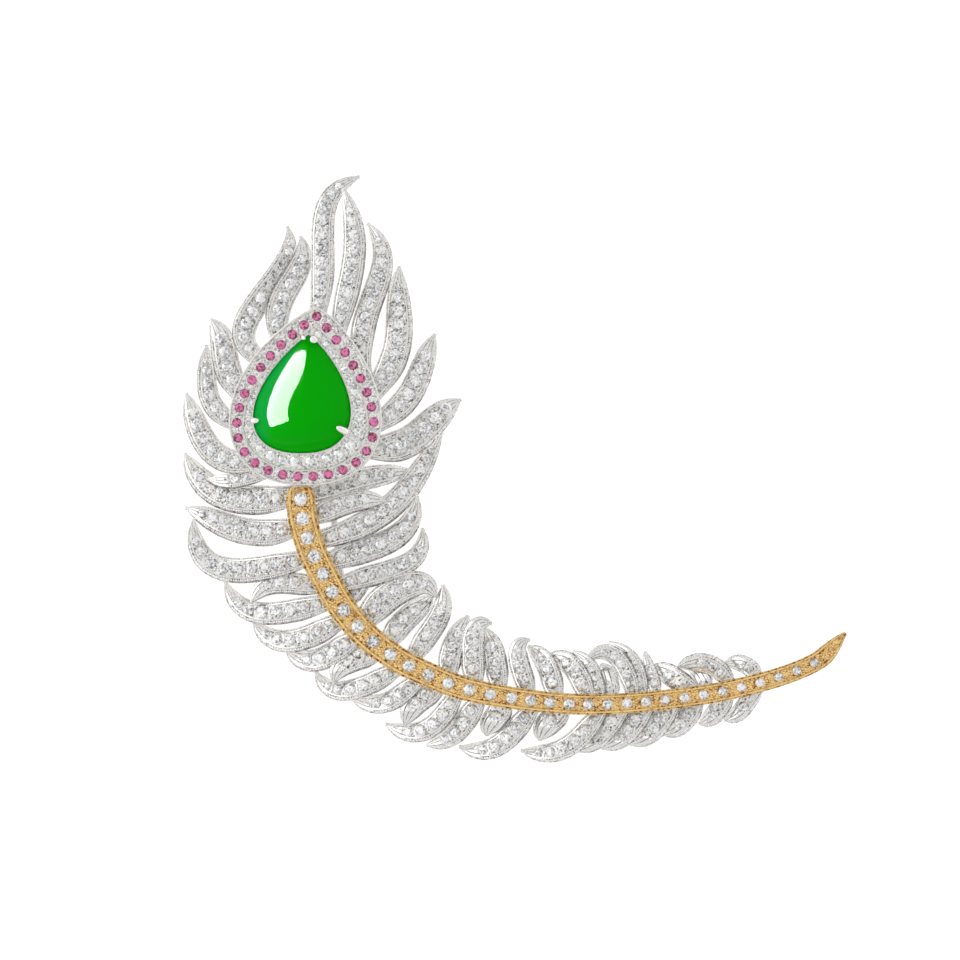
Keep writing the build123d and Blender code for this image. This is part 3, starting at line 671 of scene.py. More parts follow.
def gold_look(place, carried):
    """Yellow gold: bright on its rails, and in its recesses orange-brown and darker in small random
    cells: painted shade, with the orange of gold's reflections in a recess.
    """
    recess = carried("tone")
    # Painted shade: random cells in the recesses
    shaded_cells = ((place.shards(GOLD_SHADE_CELL_SCALE) - 0.4) * 2.2).clamped()
    shade = (recess * (shaded_cells * 0.9 + 0.27) + (place.noise(CLOUDS) - 0.5) * 0.4).clamped()
    return {
        "Base Color": shade.blend(YELLOW_GOLD, YELLOW_GOLD_DARK),
        "Roughness": 0.14 + recess * 0.2,
        "Normal": place.bump(place.noise(SCRATCHES), 0.2, SOFT_BUMP),
    }


white_gold = new_material("white_gold_polished", METAL, white_gold_look)
grain_look = plain_metal_look(bright=(1.0, 0.985, 0.965), dull=(0.28, 0.27, 0.27), rough=0.08)
grain_metal = new_material("white_gold_grains", METAL, grain_look)
yellow_gold = new_material("yellow_gold_polished", METAL, gold_look)
print(len(bpy.data.materials), "metals")

# %% [markdown]
# ## The stones' painted flashes
# A diamond is clear, and what shows is the light that its underside sends back, in flashes with
# hard edges. Real glass with real facets could do it, but stones this small turn grey and slow
# to render. So the flashes are painted into the base colour: a tone for each facet and for small
# cells of it.

# %% Looks of the stones
# Cells of painted flashes, and clouds of roughness
FLASHES, FACET_WEAR = 5000.0, 500.0  # cells and clouds a metre
JADE_CLOUDS, JADE_DETAIL = 260.0, 4.0
JADE_GREEN, JADE_BLUER = (0.0, 0.4, 0.0), (0.0, 0.4, 0.04)


def stone_look(bright, dark, contrast=1.5):
    """Each facet and each small shard of one gets its own brightness in the base colour: painted
    flashes, for the light that a cut stone sends back from its underside."""

    def look(place, carried):
        sparkle = (carried("tone") * 0.8 + (place.shards(FLASHES) - 0.38) * contrast).clamped()
        rough = 0.04 + place.noise(FACET_WEAR) * 0.03
        return {"Base Color": sparkle.blend(dark, bright), "Roughness": rough}

    return look


def jade_look(place, carried):
    """Even green with soft clouds, and bluer towards its left edge."""
    cloud = place.noise(JADE_CLOUDS, JADE_DETAIL)
    cool = (carried("tone") + (cloud - 0.5) * 0.25).clamped()
    return {
        "Base Color": cool.blend(JADE_GREEN, JADE_BLUER),
        "Roughness": 0.04 + cloud * 0.03,
    }


diamond_look = stone_look(bright=(1.0, 1.0, 1.0), dark=(0.15, 0.16, 0.18))
diamond = new_material("diamond_cut", {"Metallic": 0.3, "Coat Weight": 0.3}, diamond_look)
ruby_look = stone_look(bright=(0.82, 0.2, 0.44), dark=(0.09, 0.001, 0.02), contrast=1.9)
ruby = new_material("ruby_cut", {"Metallic": 0.2, "Coat Weight": 0.4}, ruby_look)
jade = new_material("jade_polished", {"IOR": 1.14}, jade_look)
print(len(bpy.data.materials), "materials")

# %% [markdown]
# ## Barbs
# On the brooch a barb is a tapering blade of white gold that falls towards its point and leans
# to one side, with a sunk bed for its stones between two bright bands. A bevelled curve could
# stand for one. Here a section is carried along a cubic from the quill or the halo to the point,
# because the section changes: it narrows, leans, and its bed ends before the point.

# %% Blades from their rows
Blade = namedtuple("Blade", "line width sink point top roll")


def quill_width(share):
    """Width of the quill at shares of its length, straight from row to row of the table."""
    return QUILL_WIDTH * np.interp(share, *np.transpose(QUILL_WIDTHS))


def spine_top(share):
    """Height of the bar's upper face: it falls with the square of the share."""
    return SPINE_TOP - QUILL_FALL * share**2


def make_blade(barb, start, top, roll):
    """A row of the table as a blade that starts at a place and a height."""
    end = np.array([barb.across, barb.up]) * SQUARE
    line = pull_line(start, np.radians(barb.leave), end, np.radians(barb.arrive), barb.hold)
    return Blade(line, barb.width, barb.sink, barb.point, top, np.radians(roll))


def quill_blades(table, side):
    """Blades on one side of the quill: side is 1 on its left going to the tail, else -1."""
    for barb in table:
        place, ahead = walk(quill_line, barb.root)
        start = place + side * BARB_START * SPINE_WIDTH * quill_width(barb.root) * left_of(ahead)
        yield make_blade(barb, start, spine_top(barb.root), -side * BARB_ROLL)


halo_blades = []
for barb in HALO_BARBS:
    start = pear_place(HALO, barb.root, HALO_BARB_ROOT)
    roll = -np.sign(barb.root) * HALO_BARB_ROLL
    halo_blades.append(make_blade(barb, start, SPINE_TOP + HALO_BARB_RISE, roll))
left_blades = list(quill_blades(LEFT_BARBS, -1))
right_blades = list(quill_blades(RIGHT_BARBS, 1))
all_blades = halo_blades + left_blades + right_blades
print("the longest barb is", round(max(length_of(b.line) for b in all_blades), 1), "mm long")


# %% A blade's section
def blade_at(blade, t):
    """At shares t of a blade: the middle of its section, its axes ahead, left and up, the half
    width of its face, its half thickness and its size beside a full barb."""
    place, ahead = walk(blade.line, t)
    full = ROOT_NARROWING + (1 - ROOT_NARROWING) * smoothly(t / ROOT_GROWTH)
    width = np.maximum(POINT_WIDTH, blade.width * BARB_WIDTH * full * (1 - t**TAPER_POWER))
    thick = BARB_THICKNESS + (POINT_THICKNESS - BARB_THICKNESS) * t**2
    root = blade.top - BARB_SINK - BARB_ARCH - BARB_THICKNESS * (1 + blade.sink)
    floor = root * (1 - (1 - blade.point) * t**FALL_POWER)
    size = width / BARB_WIDTH
    middle = np.concatenate([place, (floor + thick / 2)[:, None]], 1)
    fall = FALL_POWER * root * (1 - blade.point) * t ** (FALL_POWER - 1)
    slope = ((POINT_THICKNESS - BARB_THICKNESS) * t - fall) / length_of(blade.line)
    forward = np.concatenate([ahead, slope[:, None]], 1)
    forward /= np.linalg.norm(forward, axis=1, keepdims=True)
    turn = blade.roll * smoothly(t / ROLL_GROWTH)
    left = np.concatenate([left_of(ahead) * np.cos(turn)[:, None], np.sin(turn)[:, None]], 1)
    up = np.concatenate([-left_of(ahead) * np.sin(turn)[:, None], np.cos(turn)[:, None]], 1)
    return middle, forward, left, up, width / 2 - BARB_DRAFT * size, thick / 2, size


BLADE_CHECKS = 49  # places along a blade where it is measured against other things
blade_grids = [blade_at(blade, np.linspace(0, 1, BLADE_CHECKS)) for blade in all_blades]
print("half widths from", round(min(grid[4].min() for grid in blade_grids), 2), "mm")

# %% Steps across a face
# From the edge of half a face towards its middle: how far in from the edge, the depth there
# below the arch, and how much of a recess it is, which sets the painted shade there and its
# roughness
FaceStep = namedtuple("FaceStep", "inward depth recess")
FACE_RIM = [
    FaceStep(0.0, 0.1, 0.7),
    FaceStep(0.04, 0.08, 0.7),
    FaceStep(0.23, 0.08, 0.9),
    FaceStep(0.26, 0.0, 0.0),
    FaceStep(0.44, 0.0, 0.0),
    FaceStep(0.48, 0.12, 0.8),
]
BED_STEPS = 3  # columns from the last of these to the middle
BED_DEPTH = 0.12
# How much of a recess the bed is, which sets its painted shade
BED_RECESS = 0.8
FULL_HALF = 1.0  # the rim's steps are narrower where the face's half width is under this


def rim_scale(half):
    """How wide the rim's steps are beside those of a wide face."""
    return np.minimum(1, half / FULL_HALF)


def face_steps(half):
    """For every place along a blade: distances from the middle of the columns of half a face."""
    inward = np.array([step.inward for step in FACE_RIM])[None] * rim_scale(half)[:, None]
    rim = half[:, None] - inward
    bed = rim[:, -1:] * (1 - np.arange(1, BED_STEPS + 1)[None] / BED_STEPS)
    return np.concatenate([rim, bed], 1)


def mirrored(half_row):
    """The numbers over a whole face from those over its half, which end at the middle."""
    return np.array(half_row + half_row[-2::-1])[None]


FACE_DEPTH = mirrored([step.depth for step in FACE_RIM] + [BED_DEPTH] * BED_STEPS)
FACE_RECESS = mirrored([step.recess for step in FACE_RIM] + [BED_RECESS] * BED_STEPS)
print("a face has", FACE_DEPTH.size, "columns")

# %% [markdown]
# ## Surface of a barb
# Towards its point a barb has no stones: the bed rises into the face, and a few lines are
# engraved there. Cutting the bed out with a boolean would leave edges that are hard to shade.
# Lowering the columns of one grid keeps the surface whole, and lets the bed end softly.

# %% A blade's surface
CROWDING = 1.2  # over 1, the places along a barb lie closer towards its point
END_OF_BED = 2.1  # the bed ends so far from the point, and engraved lines follow
BED_NOTCH = 0.9  # longer by this in its middle
BED_FADE = 0.35  # the bed rises to the face over this length
WALL_TOP = 0.1  # the wall flares so high over its middle, as a share of the half thickness
WALL_FLARE = 0.45  # how much of the draft is reached there
BACK_SHARE = 0.94  # width of the smooth back beside the foot
# Painted shade on the walls; the two under 0 in the middle are the smooth back, with none
WALL_SHADE = [0.92, 0.92, -0.5, -0.5, 0.92, 0.92]  # the two in the middle are the back


def blade_surface(blade):
    """A grid of places round a blade's section, then along it, with the numbers that its
    material reads. Over the face the height is the arch, arch * (1 - (u / half)**2), less the
    depth of the rim's steps and of the bed."""
    t = 1 - (1 - np.linspace(0, 1, BARB_STEPS)) ** CROWDING
    middle, _, left, up, half, thick, size = blade_at(blade, t)
    steps = face_steps(half)
    u = np.concatenate([steps, -steps[:, -2::-1]], 1)
    to_point = ((1 - t) * length_of(blade.line))[:, None]
    share = np.abs(u) / half[:, None]
    engraved = smoothly((END_OF_BED + BED_NOTCH * share - to_point) / BED_FADE + 0.5)
    sunk = FACE_DEPTH * (1 - engraved) * np.minimum(1, size * 2)[:, None]
    top = thick[:, None] + (BARB_ARCH * size[:, None] * (1 - share**2) - sunk)
    half_foot = half + BARB_DRAFT * size
    flare = half + (half_foot - half) * WALL_FLARE
    around = [(-flare, thick * WALL_TOP), (-half_foot, -thick), (-half_foot * BACK_SHARE, -thick)]
    around += [(-out, z) for out, z in reversed(around)]
    u_all = np.concatenate([u] + [out[:, None] for out, _ in around], 1)
    z_all = np.concatenate([top] + [z[:, None] for _, z in around], 1)
    points = middle[:, None] + u_all[..., None] * left[:, None] + z_all[..., None] * up[:, None]
    blank = np.zeros((len(t), len(around)))
    # The tone paints shade in the bed, the rim's groove and on the walls, none where the bed has
    # risen
    tone = np.concatenate([FACE_RECESS * (1 - engraved), blank + WALL_SHADE], 1)
    across = np.concatenate([np.where(u < 0, -share, share), blank + 1], 1)
    return points, tone, across, np.concatenate([engraved, blank], 1)


print("a barb has", blade_surface(all_blades[0])[0].shape[:2], "places along and around")

# %% The barbs
def add_blades(name, blades):
    """All blades of one group as one mesh."""
    points, *numbers = (np.stack(parts) for parts in zip(*map(blade_surface, blades)))
    tone, across, engraved = (column.ravel() for column in numbers)
    faces = tube_faces(*points.shape[:3])
    layers = {"tone": tone, "across": across, "engraved": engraved}
    piece = add_mesh(name, points.reshape(-1, 3), faces, white_gold, True, **layers)
    return piece


frame_pieces = [
    add_blades("halo_barbs", halo_blades),
    add_blades("left_barbs", left_blades),
    add_blades("right_barbs", right_blades),
]
print([f"{p.name}: {len(p.data.polygons)} faces" for p in frame_pieces])

# %% [markdown]
# ## What lies under what
# Where two barbs cross, the higher one hides stones and grains of the lower one, and the quill
# and the halo hide all that is under them. A jeweller sets no stone there. Rays cast down on
# the meshes could find them. Measuring each place against each barb's own axes is quicker, and
# doesn't depend on how fine the meshes are.

# %% Inside an outline
def inside(outline, places):
    """Whether places lie inside a closed outline: a line to the right crosses it an odd number
    of times."""
    a, b = outline[:-1], outline[1:]
    x, y = places[:, :1], places[:, 1:2]
    spans = (a[:, 1] > y) != (b[:, 1] > y)
    rise = np.where(b[:, 1] == a[:, 1], 1, b[:, 1] - a[:, 1])
    return (spans & (x < (b[:, 0] - a[:, 0]) * (y - a[:, 1]) / rise + a[:, 0])).sum(1) % 2 == 1


halo_edge = pear_place(HALO, turns)
print("the quill's head is inside the halo:", bool(inside(halo_edge, quill_line[:1])[0]))

# %% Hidden places
quill_steps = np.linspace(0, 1, 160)
quill_places, _ = walk(quill_line, quill_steps)
REACH_OVER = 2.0  # nothing further than this from a barb's middle line is under it
UNDER_FROM, UNDER_TO = -2.5, -0.02  # heights over a barb's face that count as under it


def hidden(points, owners, margin):
    """Whether points are under the quill, the halo or another barb's face: beside its middle
    line by less than its half width, and a little or more below its arch."""
    gone = inside(halo_edge, points)
    away = np.linalg.norm(points[:, None, :2] - quill_places[None], axis=2)
    nearest = away.argmin(1)
    gone |= away.min(1) < quill_width(quill_steps[nearest]) / 2 + margin
    for number, (middle, _, left, up, half, thick, size) in enumerate(blade_grids):
        low, high = middle[:, :2].min(0) - REACH_OVER, middle[:, :2].max(0) + REACH_OVER
        close = ((points[:, :2] > low) & (points[:, :2] < high)).all(1)
        near = np.flatnonzero(close & (owners != number) & ~gone)
        if not len(near):
            continue
        offset = points[near, None] - middle[None]
        k = (offset[..., :2] ** 2).sum(2).argmin(1)
        offset = offset[np.arange(len(near)), k]
        u = (offset * left[k]).sum(1)
        arch = BARB_ARCH * size[k] * (1 - np.minimum(1, np.abs(u / half[k])) ** 2)
        above = (offset * up[k]).sum(1) - thick[k] - arch
        beside = (k > 0) & (k < len(middle) - 1) & (np.abs(u) < half[k] + margin)
        gone[near] |= beside & (above < UNDER_TO) & (above > UNDER_FROM)
    return gone


roots = np.array([grid[0][0] for grid in blade_grids])
print(hidden(roots, np.arange(len(roots)), 0.0).sum(), "of", len(roots), "roots are covered")

# %% [markdown]
# ## Stones and grains of the barbs
# One row of graded brilliants runs down each bed, small grains are raised in the gaps between
# them, and milgrain, a row of tiny beads rolled into the metal, runs along each edge of the
# face. A particle system could scatter them. Places worked out in rows keep the order that a
# setter keeps, and a seeded random shift makes it look done by hand.

# %% Places on a face
def face_points(blade, t, u_share, sink):
    """Places on a blade's face at shares t, u_share of the half width to the left, sunk a
    little, with their axes and the half width."""
    middle, forward, left, up, half, thick, size = blade_at(blade, t)
    rise = thick + BARB_ARCH * size * (1 - np.minimum(1, np.abs(u_share)) ** 2) - sink
    places = middle + (u_share * half)[:, None] * left + rise[:, None] * up
    return places, np.stack([forward, left, np.cross(forward, left)], 1), half


STONE_SHARE = 0.86  # of a face's width between its bands
STONE_OVER = 0.25  # added to that, so that girdles reach the bands
STONE_LEAST, STONE_MOST = 0.7, 1.6
STONE_GAP = 0.16
FIRST_STONE, STONE_STEP = 0.6, 0.05  # places tried, from the root on
LAST_STONE = 0.2  # past the end of the bed


def bed_stones(blade):
    """Shares and diameters of the stones down a blade's bed: from the root on, each as wide as
    the bed there allows, and so far on from the last that a gap is left."""
    reach = length_of(blade.line)
    at = np.arange(FIRST_STONE, reach - END_OF_BED + LAST_STONE, STONE_STEP)
    half = blade_at(blade, at / reach)[4]
    room = 2 * (half - FACE_RIM[-1].inward * rim_scale(half))
    diameters = np.clip(room * STONE_SHARE + STONE_OVER, STONE_LEAST, STONE_MOST)
    found = []
    for spot, diameter in zip(at, diameters):
        if not found or spot - found[-1][0] * reach >= (diameter + found[-1][1]) / 2 + STONE_GAP:
            found.append((spot / reach, diameter))
    return np.array(found).reshape(-1, 2)


print("the first barb takes", len(bed_stones(all_blades[0])), "stones")

# %% Rows of grains
ROW_PITCH = 0.87  # rows of balls that touch lie so much closer than the balls


def brick_rows(reach, half, pitch, edge=0.0):
    """Places on a strip, as distances along it and to its left, in rows a little closer than
    the pitch, each shifted half a pitch beside the last. half gives the strip's half width."""
    along = np.arange(edge, reach, pitch * ROW_PITCH)
    found = []
    for number, (at, room) in enumerate(zip(along, half(along / reach))):
        shifted = 0.5 if number % 2 else 0.0
        count = int(room / pitch + shifted)
        offsets = (np.arange(-count, count + (not shifted)) + shifted) * pitch
        found.append(np.stack([np.full(len(offsets), at), offsets], 1))
    return np.concatenate(found)


def clear_of(places, stones_at, diameters, gap):
    """Which places lie further than a gap from every stone's girdle, seen in the plan."""
    if not len(stones_at):
        return np.full(len(places), True)
    away = np.linalg.norm(places[:, None, :2] - stones_at[None, :, :2], axis=2)
    return (away - diameters[None] / 2).min(1) > gap


print(len(brick_rows(6.0, lambda part: 1.0 + 0 * part, 0.3)), "grains fit on a strip of 6 by 2 mm")

# %% Stones, grains and milgrain of every barb
GRAIN_SIZE = 0.28
GRAIN_PITCH = 0.3
GRAIN_GAP = 0.1  # from a stone's girdle to the middle of a grain
GRAIN_MARGIN = 0.1  # from the bed's edge
GRAINS_PAST = 0.4  # grains go on so far past the end of the bed
STONE_PROUD = 0.06  # a girdle lies so far above the bed
MILGRAIN = 0.27
MILGRAIN_PITCH = 0.27
MILGRAIN_INWARD = 0.1  # from the edge of the face
MILGRAIN_SINK = 0.07

stones, grains, milgrain = [], [], []
for number, blade in enumerate(all_blades):
    reach = length_of(blade.line)
    t, diameters = bed_stones(blade).T
    places, axes, half = face_points(blade, t, np.zeros(len(t)), BED_DEPTH - STONE_PROUD)
    stones.append((places, axes, diameters, np.full(len(t), number)))
    bed_end = reach - END_OF_BED + GRAINS_PAST

    def bed_half(part):
        """Half the room for grains at a share of the bed."""
        half = blade_at(blade, part * bed_end / reach)[4]
        return half - (FACE_RIM[-1].inward + GRAIN_MARGIN) * rim_scale(half)

    bed = brick_rows(bed_end, bed_half, GRAIN_PITCH)
    t = bed[:, 0] / reach
    half = blade_at(blade, t)[4]
    spots, turned, _ = face_points(blade, t, bed[:, 1] / half, BED_DEPTH)
    free = clear_of(spots, places, diameters, GRAIN_GAP)
    own = np.full(free.sum(), number)
    grains.append((spots[free], turned[free], np.full(len(own), GRAIN_SIZE), own))
    count = int(reach / MILGRAIN_PITCH)
    t = (np.arange(count) + 0.5) / count
    half = blade_at(blade, t)[4]
    edge = (half - MILGRAIN_INWARD * rim_scale(half)) / half
    for side in (-1, 1):
        places, axes, _ = face_points(blade, t, side * edge, MILGRAIN_SINK)
        sizes = MILGRAIN * np.minimum(1, 0.5 + half / 2)
        milgrain.append((places, axes, sizes, np.full(count, number)))
print(sum(len(row[0]) for row in stones), "stones before those that are covered are left out")


# %% What shows of them
def kept(rows_of, margin, rim=0.0):
    """The rows that show, joined. A stone shows if its middle and its girdle all round do."""
    places, axes, sizes, owners = (np.concatenate([row[k] for row in rows_of]) for k in range(4))
    gone = hidden(places, owners, margin)
    if rim:
        for angle in np.linspace(0, 2 * np.pi, 8, endpoint=False):
            reach = (rim * sizes / 2)[:, None]
            edge = places + reach * (np.cos(angle) * axes[:, 0] + np.sin(angle) * axes[:, 1])
            gone |= hidden(edge, owners, 0.0)
    return places[~gone], axes[~gone], sizes[~gone]


def by_hand(rows_kept, seed, shift=0.05, spread=0.22):
    """Grains raised by hand: each a little out of its place and of a size of its own."""
    places, axes, sizes = rows_kept
    rng = np.random.default_rng(seed)
    off = rng.uniform(-shift, shift, (len(places), 2, 1))
    moved = places + off[:, 0] * axes[:, 0] + off[:, 1] * axes[:, 1]
    return moved, axes, sizes * rng.uniform(1 - spread, 1 + spread, len(sizes))


shown_stones = kept(stones, margin=0.3, rim=0.8)
shown_grains = by_hand(kept(grains, margin=0.1), seed=7)
shown_milgrain = kept(milgrain, margin=0.05)
print(*(len(shown[0]) for shown in (shown_stones, shown_grains, shown_milgrain)), "of each show")

# %% Copies with a tone for each facet
# Mean painted brightness of a stone's facets, for the light they send back: its table, stars,
# kites, upper and lower halves
FACET_TONES = (0.8, 0.75, 0.7, 0.65, 0.3)
RUBY_TONES = (0.75, 0.65, 0.5, 0.1, 0.1)
GRAIN_TONE = 0.25


def add_copies(name, shape, rows_kept, material, spread=0.3, seed=1, tones=FACET_TONES):
    """Copies of a small shape as one mesh. Each copy has a tone of its own, and each facet of a
    stone its kind's mean and a part by chance: painted flashes, as a cut stone's facets flash in
    no order."""
    places, axes, sizes = rows_kept
    points, faces = copies(shape, places, axes, sizes)
    faceted = shape is STONE
    piece = add_mesh(name, points, faces, material, smooth=not faceted)
    rng = np.random.default_rng(seed)
    own = rng.uniform(-spread, spread, len(places)) / 2
    means = tones if faceted else (GRAIN_TONE,) * len(shape[1])
    tone = np.concatenate([np.repeat(own + mean, len(f)) for f, mean in zip(shape[1], means)])
    tone += rng.uniform(-spread, spread, len(tone)) if faceted else 0.0
    layer = piece.data.attributes.new("tone", "FLOAT", "FACE")
    layer.data.foreach_set("value", np.clip(tone, 0, 1).astype(np.float32))
    return piece


frame_pieces.append(add_copies("barb_grains", GRAIN, shown_grains, grain_metal, 0.9))
frame_pieces.append(add_copies("barb_milgrain", GRAIN, shown_milgrain, grain_metal))
barb_diamonds = add_copies("barb_diamonds", STONE, shown_stones, diamond)
print(barb_diamonds.name, "has", len(barb_diamonds.data.polygons), "faces")

# %% [markdown]
# ## The eye
# The halo is a pear-shaped plate of white gold with raised rims, a trench for the rubies and a
# field for the diamonds round the jade. A profile could be swept round a curve, but the trench
# and the field are wider in some places than in others. So rows of pears, one inside another
# and each at its height, make the wall, the rims and the fields.

# %% Surfaces through pears
eye_turns = np.linspace(0, 360, 289)[:-1]
# recess says how much of a recess a row lies in, which sets its painted shade; under 0, the smooth
# back
PearRow = namedtuple("PearRow", "pear height recess")


def add_pear_rows(name, pear_rows, material):
    """A closed surface through pears, from the first row to the last and back to the first."""
    plan = np.stack([pear_place(row.pear, eye_turns) for row in pear_rows])
    heights = np.array([row.height for row in pear_rows])[:, None, None]
    points = np.concatenate([plan, np.broadcast_to(heights, plan[..., :1].shape)], 2)
    tone = np.repeat([row.recess for row in pear_rows], len(eye_turns))
    quads = grid_faces(len(pear_rows), len(eye_turns), wrap_u=True, wrap_v=True)[:, ::-1]
    zero = np.zeros(len(tone))
    layers = {"tone": tone, "across": zero, "engraved": zero}
    return add_mesh(name, points.reshape(-1, 3), [quads], material, True, **layers)


print(len(eye_turns), "places round a pear")

# %% The halo's plate
rail = HALO_TOP + RAIL_HEIGHT
under = HALO_TOP - HALO_THICKNESS
seat = HALO_TOP - JADE_SEAT
ruby_room = RUBY_DIAMETER / 2 + CLEARANCE
inner = pear_inset(RUBY_RING, ruby_room)
field = pear_inset(RUBY_RING, ruby_room + INNER_RAIL)
collar = pear_inset(JADE, -COLLAR_WIDTH - CLEARANCE)
JADE_OPENING = 2.6  # the seat's width; behind it the plate is open
# Each rim has two rows at its top and one a little below on either side, which round its edges
halo_rows = [
    PearRow(pear_inset(HALO, 0.1), under, -0.5),
    PearRow(HALO, under + 0.1, 0.3),
    PearRow(HALO, rail - 0.06, 0.1),
    PearRow(pear_inset(HALO, 0.06), rail, 0.0),
    PearRow(pear_inset(HALO, HALO_RIM - 0.04), rail, 0.0),
    PearRow(pear_inset(HALO, HALO_RIM), rail - 0.05, 0.2),
    PearRow(pear_inset(HALO, HALO_RIM), HALO_TOP, 0.75),
    PearRow(inner, HALO_TOP, 0.75),
    PearRow(inner, rail - 0.05, 0.2),
    PearRow(pear_inset(inner, 0.05), rail, 0.0),
    PearRow(pear_inset(field, -0.05), rail, 0.0),
    PearRow(field, rail - 0.05, 0.2),
    PearRow(field, HALO_TOP, 0.75),
    PearRow(collar, HALO_TOP, 0.75),
    PearRow(collar, rail - 0.04, 0.1),
    PearRow(pear_inset(collar, 0.04), rail, 0.0),
    PearRow(pear_inset(JADE, -CLEARANCE - 0.02), rail, 0.0),
    PearRow(pear_inset(JADE, -CLEARANCE), rail - 0.03, 0.2),
    PearRow(pear_inset(JADE, -CLEARANCE), seat, 0.7),
    PearRow(pear_inset(JADE, JADE_OPENING), seat, 0.7),
    PearRow(pear_inset(JADE, JADE_OPENING), under, -0.5),
]
halo_plate = add_pear_rows("halo_plate", halo_rows, white_gold)
frame_pieces.append(halo_plate)
print(len(halo_rows), "rows,", len(halo_plate.data.polygons), "faces")

# %% [markdown]
# ## The jade
# A cabochon is a stone ground to a smooth dome with no facets. A ball pressed flat would do for
# a round one. For a pear the outline is drawn smaller and smaller as it rises, by the power
# that gives the dome its fullness, and the last rows close at the crest in triangles.

# %% The jade's dome
DOME_ROWS = 44
DOME_CROWDING = 0.8  # under 1, the rows lie closer at the edge, where the dome is steep
JADE_CHAMFER = 0.08
COOL_FROM, COOL_OVER = 0.4, 0.3  # the bluer side, in shares of the way to the left edge
jade_floor = seat + CLEARANCE
girdle = jade_floor + JADE_GIRDLE
dome_rise = (high[2] - low[2]) / MM - JADE_GIRDLE


def dome_height(scale):
    """Height above the girdle where the outline has shrunk to a scale: 1 less a power of it."""
    return dome_rise * (1 - scale**DOME_POWER)


scales = np.linspace(0, 1, DOME_ROWS)[::-1] ** DOME_CROWDING
shells = [(pear_place(pear_inset(JADE, JADE_CHAMFER), eye_turns), jade_floor, 1.0)]
shells += [(pear_place(JADE, eye_turns), jade_floor + JADE_CHAMFER, 1.0)]
shells += [(pear_place(JADE, eye_turns, s), girdle + dome_height(s), s) for s in scales[:-1]]
leftward = -np.sin(np.radians(eye_turns))
cool_tone = np.concatenate([smoothly((s * leftward - COOL_FROM) / COOL_OVER) for *_, s in shells])
shells = np.stack([np.concatenate([p, np.full((len(p), 1), z)], 1) for p, z, _ in shells])
crest = np.append(pear_place(JADE, np.array([0.0]), 0.0)[0], girdle + dome_rise)
around = np.arange(len(eye_turns))
last = (len(shells) - 1) * len(around)
top = np.full(len(around), last + len(around))
cap = np.stack([last + around, last + (around + 1) % len(around), top], -1)
jade_quads = grid_faces(len(shells), len(around), wrap_v=True)[:, ::-1]
jade_piece = add_mesh(
    "jade_dome",
    np.concatenate([shells.reshape(-1, 3), crest[None]]),
    [jade_quads, cap[:, ::-1], around[None]],
    jade,
    True,
    tone=np.append(cool_tone, 0.0),
)
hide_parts("jade_cabochon")
print("dome", len(jade_piece.data.polygons), "faces")

# %% [markdown]
# ## Claws
# A claw is a strip of metal that is bent over the jade's edge and filed round, so that it holds
# the stone and catches no thread. Four of them show here, each of its own length. A bevelled
# curve would have one section all along. Ellipses carried along a bent path get narrower and
# end in a rounded tip.

# %% The surface of a claw
CLAW_STEPS, CLAW_ROUND = 24, 14
CLAW_DEEP = 0.26  # half its thickness
CLAW_FOOT_DEEP = 0.3  # it starts so far below the plate's face
CLAW_OVER_JADE = 0.1
CLAW_AT_FOOT, CLAW_NARROWING = 1.1, 0.35  # width at the foot, and lost along it, beside its own


def rounded_end(v, start, power, least):
    """1 up to a share, then down to a rounded end: the root of 1 less a power of the rest."""
    past = np.clip((v - start) / (1 - start), 0, 1)
    return np.sqrt(np.clip(1 - past**power, least, 1))


def claw_surface(turn, width, reach_in):
    """Ellipses along a path from the halo's face up over the edge of the jade. The half width
    falls evenly, and the end is rounded in both directions."""
    ends = pear_place(JADE, np.array([turn - 2.0, turn + 2.0]))
    place = pear_place(JADE, np.array([float(turn)]))[0]
    along = (ends[1] - ends[0]) / np.linalg.norm(ends[1] - ends[0])
    out = left_of(along)
    centre = pear_place(JADE, np.array([float(turn)]), 0.0)[0]
    rise = dome_height(1 - reach_in / np.linalg.norm(place - centre))
    # Out from the jade's edge and up from the plate: the foot, the bend and the end
    path = smooth_line([
        (CLAW_FOOT, -CLAW_FOOT_DEEP),
        (CLAW_FOOT - 0.05, 0.4),
        (0.0, 0.85),
        (-reach_in * 0.6, max(0.95, rise + 0.05)),
        (-reach_in, max(1.0, rise + CLAW_OVER_JADE)),
    ])
    v = np.linspace(0, 1, CLAW_STEPS)
    spot, heading = walk(path, v)
    normal = left_of(heading)
    normal = normal * np.where(normal[:, 1:] + normal[:, :1] * 1e-6 < 0, -1, 1)
    half = width / 2 * (CLAW_AT_FOOT - CLAW_NARROWING * v)
    half = half * rounded_end(v, start=0.72, power=2.2, least=0.01)
    deep = CLAW_DEEP * rounded_end(v, start=0.85, power=2, least=0.02)
    angle = 2 * np.pi * np.arange(CLAW_ROUND) / CLAW_ROUND
    outward = spot[:, 0][:, None] + deep[:, None] * np.sin(angle)[None] * normal[:, :1]
    height = spot[:, 1][:, None] + deep[:, None] * np.sin(angle)[None] * normal[:, 1:]
    side = half[:, None] * np.cos(angle)[None]
    plan = place + outward[..., None] * out + side[..., None] * along
    return np.concatenate([plan, HALO_TOP + height[..., None]], 2)


print("a claw has", claw_surface(0, 1.0, 0.5).shape[:2], "places along and around")

